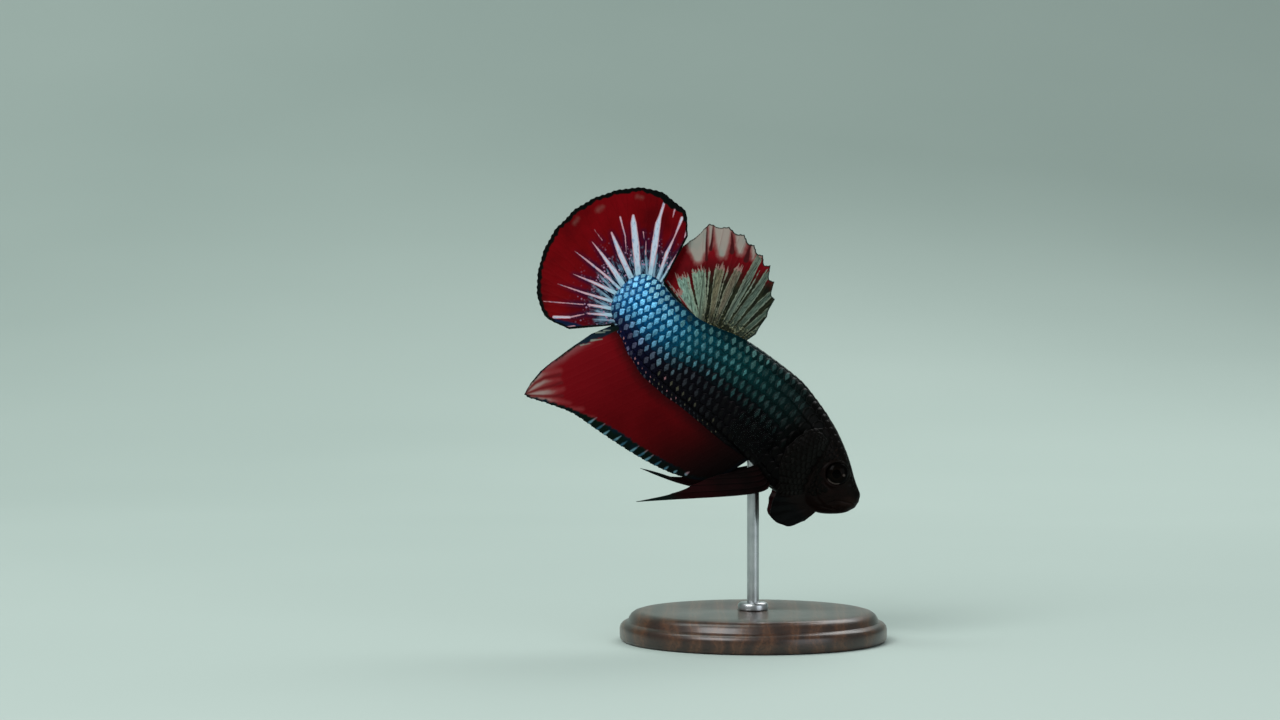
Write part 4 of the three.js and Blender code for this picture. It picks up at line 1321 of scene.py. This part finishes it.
WEDGES = [  # silver-green, between the dark rays: (along, up, half width)
    [(36.0, 4.0, 0.3), (38.5, 5.0, 0.46), (40.4, 5.8, 0.64), (42.4, 6.9, 0.78)],
    [(37.5, 4.3, 0.3), (40.8, 5.1, 0.42)],
    [(35.6, 4.0, 0.36), (37.4, 5.9, 0.58), (38.9, 7.3, 0.84), (41.2, 9.4, 1.08)],
    [(36.9, 4.6, 0.06), (40.3, 6.6, 0.13), (41.9, 7.8, 0.15)],
    [(42.8, 4.8, 0.06), (41.1, 4.5, 0.1), (39.5, 4.0, 0.1)],
    [(34.7, 5.0, 0.36), (37.2, 8.8, 0.54), (39.1, 11.9, 0.76)],
    [(36.2, 5.4, 0.05), (38.0, 7.9, 0.09), (39.9, 10.4, 0.12)],
    [(34.0, 5.4, 0.34), (35.7, 9.8, 0.6), (36.9, 13.6, 0.56)],
    [(35.0, 6.4, 0.05), (37.1, 10.3, 0.08), (38.0, 12.4, 0.1)],
    [(33.0, 6.4, 0.4), (34.8, 13.3, 0.56), (35.9, 17.4, 0.52)],
    [(32.0, 6.6, 0.4), (32.6, 12.5, 0.54), (33.3, 16.4, 0.44)],
    [(33.0, 8.4, 0.05), (33.7, 12.8, 0.08), (34.4, 15.6, 0.06)],
    [(31.0, 6.6, 0.4), (31.0, 12.0, 0.46), (30.7, 15.0, 0.34)],
    [(30.0, 6.6, 0.38), (29.4, 12.0, 0.36), (29.1, 13.4, 0.26)], [(29.1, 6.8, 0.3), (28.6, 9.6, 0.24)],
]
WINDOWS = [  # clear web near the edge: (along, up, half width)
    [(42.6, 10.8, 0.9), (43.7, 12.0, 1.6), (45.3, 13.3, 2.0)], [(42.5, 13.4, 0.35), (44.4, 15.7, 0.6)],
    [(40.3, 13.7, 0.75), (41.5, 15.1, 1.2), (42.9, 16.7, 1.5)],
    [(38.5, 15.8, 0.6), (39.2, 16.6, 0.95), (40.0, 17.8, 1.2)],
    [(36.4, 16.3, 0.35), (37.3, 17.7, 0.75)],
]
PANE_RAYS = [  # rays that run dark through the clear web
    [(41.4, 11.4, 0.2), (43.2, 13.4, 0.13), (44.7, 15.2, 0.06)],
    [(42.0, 13.0, 0.24), (42.8, 14.2, 0.14), (44.2, 16.0, 0.06)],
    [(39.4, 14.9, 0.36), (40.2, 15.9, 0.2), (41.4, 17.0, 0.07)],
    [(37.0, 15.4, 0.4), (37.6, 16.6, 0.2), (38.2, 17.8, 0.1)],
]
keep_on(back_fin, "PaneRay", strokes(plan, PANE_RAYS), plan)
tufts = []  # the wedges end in tufts, painted with rosy highlights at their tips
for wedge in WEDGES[:10]:
    (from_along, from_up, _), (along, up, half) = wedge[-2:]
    long = math.hypot(along - from_along, up - from_up)
    way = np.array([(along - from_along) / long, (up - from_up) / long])
    across = np.array([-way[1], way[0]])
    for share in (np.linspace(-0.8, 0.8, 5) if half > 0.3 else (0.0,)):
        foot = np.array([along, up]) + across * share * half + way * rng.uniform(-0.3, 0.1)
        head = foot + way * rng.uniform(0.5, 1.1) + across * rng.normal(0, 0.08)
        tufts.append([(*foot, 0.12), (*head, 0.03)])
keep_on(back_fin, "TuftGlint", strokes(plan, tufts), plan)
# Painted shade: a dark band where the fin's last ray lies on the back.
keep_on(back_fin, "RearShade", stroke(plan, (36.4, 3.3, 0.5), (40.0, 3.7, 0.55), (45.0, 4.4, 0.6)), plan)
keep_on(back_fin, "RearLine", stroke(plan, (37.6, 4.2, 0.04), (43.6, 5.1, 0.09)), plan)
silver = strokes(plan, WEDGES, blunt=True)
clear = strokes(plan, WINDOWS)
keep_on(back_fin, "Silver", silver, plan)
keep_on(back_fin, "Clear", clear, plan)
red_from = smooth_curve([
    [0, 1.3], [0.1, 1.2], [0.22, 1.06], [0.32, 0.9], [0.42, 0.74], [0.55, 0.62], [0.7, 0.54], [0.85, 0.46],
    [0.95, 0.14], [1, 0.0],
])
keep_on(back_fin, "Olive", (red_from(plan["u"]) - plan["v"]) * 10, plan)


def back_fin_colour(tree):
    fan, ray = read_field(tree, "FinFan"), read_field(tree, "FinRay")
    colour = red_web(tree, "#4c040a", "#67070f", "#780c16", 0.2)
    dusk = inside(tree, read_field(tree, "Olive"), -2.6, 0.4, 0.5, 700.0)
    colour = over(tree, math_node(tree, "MULTIPLY", dusk, 0.7), colour, "#22080a")
    olive = over(
        tree, inside(tree, noise(tree, fan_place(tree, 60.0, 0.6), 1.0), 0.4, 0.66), "#12150f", "#272a1c"
    )
    colour = over(tree, inside(tree, read_field(tree, "Olive"), -1.0, 1.6, 0.5, 700.0), colour, olive)
    # Clear web: pinkish grey, painted for the light that shows through it, rosy where it fades into the red,
    # with the rays showing red in it.
    clear = read_field(tree, "Clear")
    pane = over(tree, inside(tree, noise(tree, object_place(tree), 260.0), 0.4, 0.62), "#968b83", "#878981")
    pane = over(tree, inside(tree, clear, 0.55, 0.0, 0.1, 600.0), pane, "#84524f")
    pane = over(tree, math_node(tree, "MULTIPLY", inside(tree, ray, 0.1, 0.03), 0.2), pane, "#6b2a2c")
    colour = over(tree, inside(tree, clear, -0.5, 0.35, 0.55, 700.0), colour, pane)
    colour = over(
        tree, inside(tree, read_field(tree, "PaneRay"), -0.12, 0.08, 0.06, 1200.0), colour, "#3f1315"
    )
    # Wedges: silver-green towards the tail, brownish in the middle, dark grey-green in front; fibred along
    # the rays.
    tone = ramp(tree, fan, [
        (0.0, "#36433b"), (0.12, "#415046"), (0.3, "#506056"), (0.46, "#5c695e"), (0.58, "#675f50"),
        (0.72, "#6d6852"), (0.8, "#728272"), (0.88, "#78907f"), (1.0, "#789a90"),
    ])
    fibres = noise(tree, fan_place(tree, 130.0, 0.8), 1.0, 3.0, 0.65)
    tone = node(tree, "ShaderNodeMix", {"data_type": "RGBA", "blend_type": "MULTIPLY"},
                {0: 1.0, 6: tone, 7: ramp(tree, fibres, [(0.3, 0.2), (0.5, 0.85), (0.72, 1.65)])}).outputs[2]
    blots = inside(tree, noise(tree, object_place(tree), 1900.0, 3.0, 0.6), 0.55, 0.68)
    tone = over(tree, math_node(tree, "MULTIPLY", blots, 0.5), tone, "#2c3226")
    # A painted highlight: a paler rim round each wedge.
    border = inside(tree, read_field(tree, "Silver"), 0.22, 0.02, 0.08, 2000.0)
    tone = over(tree, math_node(tree, "MULTIPLY", border, 0.4), tone, "#96a08c")
    colour = over(tree, inside(tree, read_field(tree, "Silver"), -0.06, 0.06, 0.2, 1700.0), colour, tone)
    # Painted rosy highlights at the tips of the wedges.
    colour = over(tree, inside(tree, read_field(tree, "TuftGlint"), -0.04, 0.05, 0.06, 2400.0), colour, "#8f6d66")
    # Near the root the wedges break up into olive and yellow-grey specks.
    near_root = inside(tree, read_field(tree, "FinRoot"), 3.8, 1.2, 1.2, 900.0)
    cells = noise(tree, object_place(tree), 3200.0, 2.0)
    specks = over(tree, inside(tree, cells, 0.53, 0.61), "#171c14", "#5c5b40")
    specks = over(tree, inside(tree, cells, 0.63, 0.68), specks, "#878c74")
    fore = inside(tree, fan, 0.9, 0.7)
    colour = over(
        tree, math_node(tree, "MULTIPLY", math_node(tree, "MULTIPLY", near_root, fore), 0.75), colour,
        specks
    )
    # The whole rays: thin dark olive lines over the wedges.
    lines = math_node(tree, "MULTIPLY", inside(tree, ray, 0.13, 0.05, 0.05, 1500.0),
                      inside(tree, read_field(tree, "Olive"), -1.5, 1.0))
    colour = over(tree, math_node(tree, "MULTIPLY", lines, 0.6), colour, "#1a1d13")
    hem = inside(tree, read_field(tree, "FinHem"), 0.26, 0.1, 0.08)
    colour = over(tree, hem, colour, "#1b2622")
    # Its last ray lies along the back: a rosy-grey line over painted shade between the fin and the back.
    colour = over(
        tree, inside(tree, read_field(tree, "RearShade"), -0.15, 0.15, 0.1, 1500.0), colour, "#071311"
    )
    return over(
        tree, inside(tree, read_field(tree, "RearLine"), -0.06, 0.05, 0.05, 2000.0), colour, "#8b7a76"
    )


back_fin.data.materials.append(fin_material("silver_and_red_web", back_fin_colour))
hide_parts("dorsal_fin")

# Belly fin: the long keel of red web behind the belly, hemmed with black, its last rays drawn out to a pale
# point.
keel_shape = {
    "root": smooth_curve([
        [0, 16.4, -6.1, 0], [0.35, 26, -6.2, 0], [0.7, 36.5, -6.2, 0], [0.86, 41.0, -5.3, 0],
        [1, 44.5, -4.0, 0],
    ]),
    "tip": smooth_curve([
        [0, 17.3, -9.9, 0], [0.05, 18.9, -12.9, 0], [0.1, 21.3, -14.8, 0], [0.2, 25.0, -16.4, 0],
        [0.34, 29.6, -17.6, 0], [0.5, 35.4, -18.6, 0], [0.64, 40.4, -19.3, 0], [0.76, 44.6, -20.9, 0],
        [0.86, 47.9, -22.3, 0], [0.9, 48.6, -18.6, 0], [0.95, 47.8, -13.4, 0], [1, 46.7, -8.6, 0],
    ]),
    "rays": 25, "notch": 0.006, "web": 0.2, "hem": 0.07, "ridge": 0.05, "split": 0.5, "split_again": 2.0,
    "wave": lambda u, v: (0.7 * np.sin(5.5 * u + 0.6) + 0.8 * u) * v * ease(v, 0.05, 0.4),
}
keel_fin, plan = fin_sheet("keel_fin", keel_shape, 361, 80)
pale_tip = strokes(plan, [
    [(48.1, -22.0, 0.05), (48.3, -19.5, 0.3), (48.0, -17.9, 0.4), (46.4, -15.8, 0.2)],
    [(48.0, -22.0, 0.05), (47.5, -20.0, 0.36), (47.0, -18.6, 0.36), (45.6, -16.9, 0.12)],
    [(47.8, -22.0, 0.1), (46.3, -20.3, 0.42), (45.1, -19.0, 0.4), (44.2, -17.6, 0.12)],
    [(47.3, -22.0, 0.1), (44.4, -20.0, 0.34), (42.0, -18.4, 0.06)], [(41.4, -19.0, 0.2), (40.0, -17.8, 0.05)],
    [(39.1, -18.4, 0.16), (37.8, -17.6, 0.04)],
])
keep_on(keel_fin, "PaleTip", pale_tip, plan)
keep_on(keel_fin, "TipLine", strokes(plan, [
    [(48.0, -22.0, 0.02), (47.9, -19.7, 0.05), (47.4, -18.2, 0.1), (46.0, -16.3, 0.2)],
    [(47.9, -22.0, 0.02), (46.8, -19.9, 0.05), (45.8, -18.4, 0.1), (45.0, -17.0, 0.2)],
    [(47.8, -22.1, 0.02), (45.3, -20.0, 0.06), (43.6, -18.4, 0.2)],
]), plan)
keep_on(keel_fin, "FromTip", np.hypot(plan["along"] - 48.0, plan["up"] + 22.3), plan)
keep_on(keel_fin, "RearGlow", strokes(plan, [
    [(47.6, -14.2, 0.3), (47.2, -11.6, 0.5), (46.5, -9.4, 0.35)], [(48.1, -17.0, 0.1), (47.6, -14.2, 0.3)],
]), plan)
hem_width = smooth_curve([
    [17, 0.35], [21, 0.5], [23, 1.0], [25, 1.25], [29, 1.4], [33, 1.55], [36, 1.35], [38.3, 0.95],
    [41, 0.5], [44, 0.32], [49, 0.16],
])(plan["along"])
hem_width = np.where(plan["u"] > 0.88, 0.24 + 0.75 * ease(plan["up"], -12.5, -8), hem_width)
hem_width += 0.06 * np.sin(plan["along"] * 5.2) + 0.04 * np.sin(plan["along"] * 11.3 + 1)
keep_on(keel_fin, "InHem", hem_width - plan["hem"], plan)
keel_edge = smooth_curve(
    [[18, -9.9], [22.2, -14.8], [25.4, -16.4], [29.6, -17.6], [35.4, -18.6], [40.4, -19.3]]
)
dashes = []
for place in np.arange(22.0, 38.6, 1.45):
    place += rng.normal(0, 0.16)
    long = (
        0.55 + 0.85 * float(ease(place, 24, 29)) * (1 - 0.35 * float(ease(place, 36, 39)))
    ) * rng.uniform(0.6, 1.2)
    edge = float(keel_edge(place))
    dashes.append([
        (place, edge + 0.12, 0.18), (place - 0.12 * long, edge + 0.12 + 0.5 * long, 0.16),
        (place - 0.26 * long, edge + 0.12 + 1.15 * long, 0.03),
    ])
keep_on(keel_fin, "Dash", strokes(plan, dashes), plan)
keep_on(keel_fin, "RearDash", strokes(plan, [
    [(46.0, -9.3, 0.16), (44.9, -8.0, 0.06)], [(46.3, -7.9, 0.16), (45.3, -7.0, 0.05)],
    [(46.7, -10.9, 0.12), (45.8, -9.7, 0.03)], [(45.6, -6.9, 0.12), (44.9, -6.2, 0.04)],
]), plan)
below_sheath = belly_line(plan["along"]) - sheath_depth(plan["along"]) - plan["up"]
keep_on(keel_fin, "BelowSheath", below_sheath, plan)
keep_on(keel_fin, "Forward", ease(plan["along"] + 0.35 * plan["up"], 28, 13), plan)
keep_on(keel_fin, "Rearward", ease(plan["along"] + 0.1 * plan["up"], 30, 46), plan)


def keel_colour(tree):
    colour = red_web(tree, "#470206", "#4f0307", "#560409", 0.04)
    colour = over(tree, math_node(tree, "MULTIPLY", read_field(tree, "Rearward"), 0.75), colour, "#710711")
    colour = over(tree, read_field(tree, "Forward"), colour, "#0a0303")
    root = inside(tree, read_field(tree, "BelowSheath"), 2.2, 0.0, 0.6, 1200.0)
    colour = over(tree, math_node(tree, "MULTIPLY", root, 0.75), colour, "#200406")
    # The drawn-out tip and the web inside the rear hem are clear, painted pale for the light that shows
    # through them, and fade softly into the red.
    glow = inside(tree, read_field(tree, "RearGlow"), -0.9, 0.5, 0.3, 500.0)
    colour = over(tree, math_node(tree, "MULTIPLY", glow, 0.5), colour, "#83585a")
    pale = over(tree, inside(tree, read_field(tree, "PaleTip"), 0.3, -0.1, 0.2, 700.0), "#8f7b76", "#7d4744")
    pale = over(tree, inside(tree, read_field(tree, "FromTip"), 2.6, 5.6, 0.8, 500.0), pale, "#7a2a2d")
    tip = inside(tree, read_field(tree, "PaleTip"), -0.6, 0.35, 0.3, 600.0)
    colour = over(tree, tip, colour, pale)
    colour = over(
        tree, math_node(tree, "MULTIPLY", inside(tree, read_field(tree, "TipLine"), -0.25, 0.1), 0.85),
        colour, "#5c1418"
    )
    hem = inside(tree, read_field(tree, "InHem"), -0.28, 0.1, 0.22, 1300.0)
    teal = over(tree, inside(tree, noise(tree, object_place(tree), 300.0), 0.4, 0.6), "#04120d", "#041926")
    colour = over(tree, hem, colour, teal)
    colour = over(tree, math_node(tree, "MULTIPLY", read_field(tree, "Forward"), 0.85), colour, "#060404")
    dash = inside(tree, read_field(tree, "Dash"), -0.1, 0.12, 0.07, 2000.0)
    blue = over(tree, inside(tree, noise(tree, object_place(tree), 700.0), 0.4, 0.62), "#2b5364", "#5f8894")
    blue = over(tree, inside(tree, read_field(tree, "InHem"), 0.5, -0.1), blue, "#8a6c74")
    colour = over(tree, math_node(tree, "MULTIPLY", dash, 0.85), colour, blue)
    rear_dash = inside(tree, read_field(tree, "RearDash"), -0.08, 0.08, 0.05, 2000.0)
    return over(tree, math_node(tree, "MULTIPLY", rear_dash, 0.7), colour, "#7e8a7e")


keel_fin.data.materials.append(fin_material("deep_red_keel_web", keel_colour))
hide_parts("anal_fin")

# Breast fins: two narrow blades of a few rays, trailing back to fine points. The left one reaches farther
# back.
PAIRS = {
    "right": (
        [[0, 24.8, -22.4, 3.6], [0.2, 21.7, -17.9, 3.5], [0.4, 20.4, -15.1, 3.3], [0.7, 18.9, -12.0, 3.0],
         [1, 17.1, -9.6, 2.6]],
        lambda u, v: 1.05 * (1 - u) * np.sin(np.pi * v**0.36),
    ),
    "left": (
        [[0, 27.5, -18.6, 4.4], [0.2, 23.5, -16.6, 4.2], [0.4, 21.4, -14.6, 3.8], [0.7, 19.2, -11.6, 3.3],
         [1, 17.2, -9.2, 2.7]],
        lambda u, v: 1.5 * (1 - u) * np.sin(np.pi * v),
    ),
}


def blade_colour(tree):
    cloud = noise(tree, object_place(tree), 500.0, 3.0)
    colour = ramp(tree, cloud, [(0.35, "#0b0505"), (0.65, "#150708")])
    out_along = read_field(tree, "FinRoot")
    colour = over(tree, inside(tree, out_along, 6.5, 10.5, 1.0), colour, "#1f0709")
    colour = over(tree, inside(tree, read_field(tree, "FinRay"), 0.15, 0.04), colour, "#090404")
    return over(
        tree, math_node(tree, "MULTIPLY", inside(tree, out_along, 13.5, 17.0, 1.0), 0.85), colour, "#0a1c1a"
    )


dark_blade = fin_material("dark_breast_fin_web", blade_colour)
for name, side in (("left", 1), ("right", -1)):
    tip, bow = PAIRS[name]
    blade_shape = {
        "root": smooth_curve([[0, 12.0, -6.6, 1.3], [1, 15.2, -6.2, 1.5]]),
        "tip": smooth_curve(tip), "bow": bow,
        "rays": 6, "notch": 0.03, "web": 0.26, "hem": 0.12, "ridge": 0.14, "split": 2.0, "split_again": 3.0,
        "wave": lambda u, v: 0 * u, "side": side,
    }
    blade, plan = fin_sheet("breast_fin_" + name, blade_shape, 81, 72)
    blade.data.materials.append(dark_blade)
    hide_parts("pelvic_fin_" + name)

# Side fins: small clear fans behind the gill covers, held back against the flank.
def clear_colour(tree):
    ray = inside(tree, read_field(tree, "FinRay"), 0.12, 0.03)
    return over(tree, ray, "#0a0e0e", "#050707")


clear_web = finish_material(
    "smoky_clear_web", clear_colour, fin_gloss, None, Specular_IOR_Level=0.04, Alpha=0.22
)
for name, side in (("left", 1), ("right", -1)):
    side_shape = {
        "root": smooth_curve([[0, 14.4, -1.0, 3.3], [1, 14.8, -3.7, 3.2]]),
        "tip": smooth_curve([
            [0, 20.3, 0.4, 5.6], [0.25, 22.4, -1.4, 6.3], [0.5, 22.7, -3.7, 6.4], [0.75, 21.4, -5.7, 6.0],
            [1, 19.0, -6.5, 5.2],
        ]),
        "rays": 12, "notch": 0.03, "web": 0.12, "hem": 0.05, "ridge": 0.1, "split": 0.5, "split_again": 2.0,
        "wave": lambda u, v: 0.6 * np.sin(np.pi * u) * v, "side": side,
    }
    fan, plan = fin_sheet("side_fin_" + name, side_shape, 133, 48)
    fan.data.materials.append(clear_web)
    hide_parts("pectoral_fin_" + name)

# ---------------------------------------------------------------------------
# Studio: seamless pale paper swept up behind, large soft lamps.
# ---------------------------------------------------------------------------
def sweep():
    """Floor that curves up into a wall behind, in metres."""
    bend, start = 1.6, 0.35
    line = [(-2.5, 0.0), (start, 0.0)]
    line += [
        (start + bend * math.sin(a), bend * (1 - math.cos(a))) for a in np.linspace(0, math.pi / 2, 40)[1:]
    ]
    line += [(start + bend, 3.4)]
    points = np.array([[x, y, z] for y, z in line for x in (-4.0, 4.0)]) / MM
    faces = np.array([[2 * n, 2 * n + 1, 2 * n + 3, 2 * n + 2] for n in range(len(line) - 1)])
    return make_piece("paper_sweep", points, faces)


def paper_colour(tree):
    return ramp(tree, noise(tree, object_place(tree), 2.0, 3.0), [(0.3, "#adbdb7"), (0.7, "#b9c8c2")])


def paper_gloss(tree):
    return 0.85


paper = finish_material("seamless_paper", paper_colour, paper_gloss)
floor = sweep()
floor.data.materials.append(paper)

world = bpy.data.worlds.new("studio_air")
bpy.context.scene.world = world
world.use_nodes = True
world.node_tree.nodes["Background"].inputs["Color"].default_value = linear("#e9f1f0")
world.node_tree.nodes["Background"].inputs["Strength"].default_value = 0.28


def lamp(name, place, target, size, watts, colour):
    light = bpy.data.lights.new(name, "AREA")
    light.shape = "RECTANGLE"
    light.size, light.size_y = size
    light.energy = watts
    light.color = linear(colour)[:3]
    holder = bpy.data.objects.new(name, light)
    bpy.context.scene.collection.objects.link(holder)
    holder.location = place
    holder.rotation_euler = (Vector(target) - Vector(place)).to_track_quat("-Z", "Y").to_euler()


MIDDLE = (0.0, 0.0, 0.035)
lamp("key_softbox", (-0.42, -0.5, 0.62), MIDDLE, (0.5, 0.5), 5.0, "#ffffff")
lamp("fill_softbox", (0.6, -0.55, 0.2), MIDDLE, (0.5, 0.6), 1.6, "#f2f8ff")
lamp("back_softbox", (0.25, 0.5, 0.6), MIDDLE, (0.6, 0.4), 2.4, "#ffffff")
lamp("wall_softbox", (-0.6, 0.2, 1.5), (-0.2, 1.6, 0.4), (1.2, 0.8), 11.0, "#f4fffb")

camera = bpy.data.objects.new("camera", bpy.data.cameras.new("camera"))
bpy.context.scene.collection.objects.link(camera)
camera.data.sensor_width = 36
camera.data.lens = 70
camera.data.clip_start, camera.data.clip_end = 0.01, 20
camera.location = (-0.01695, -0.3733, 0.042)
camera.rotation_euler = (math.radians(90), 0, 0)
bpy.context.scene.camera = camera
bpy.context.scene.view_settings.view_transform = "Standard"
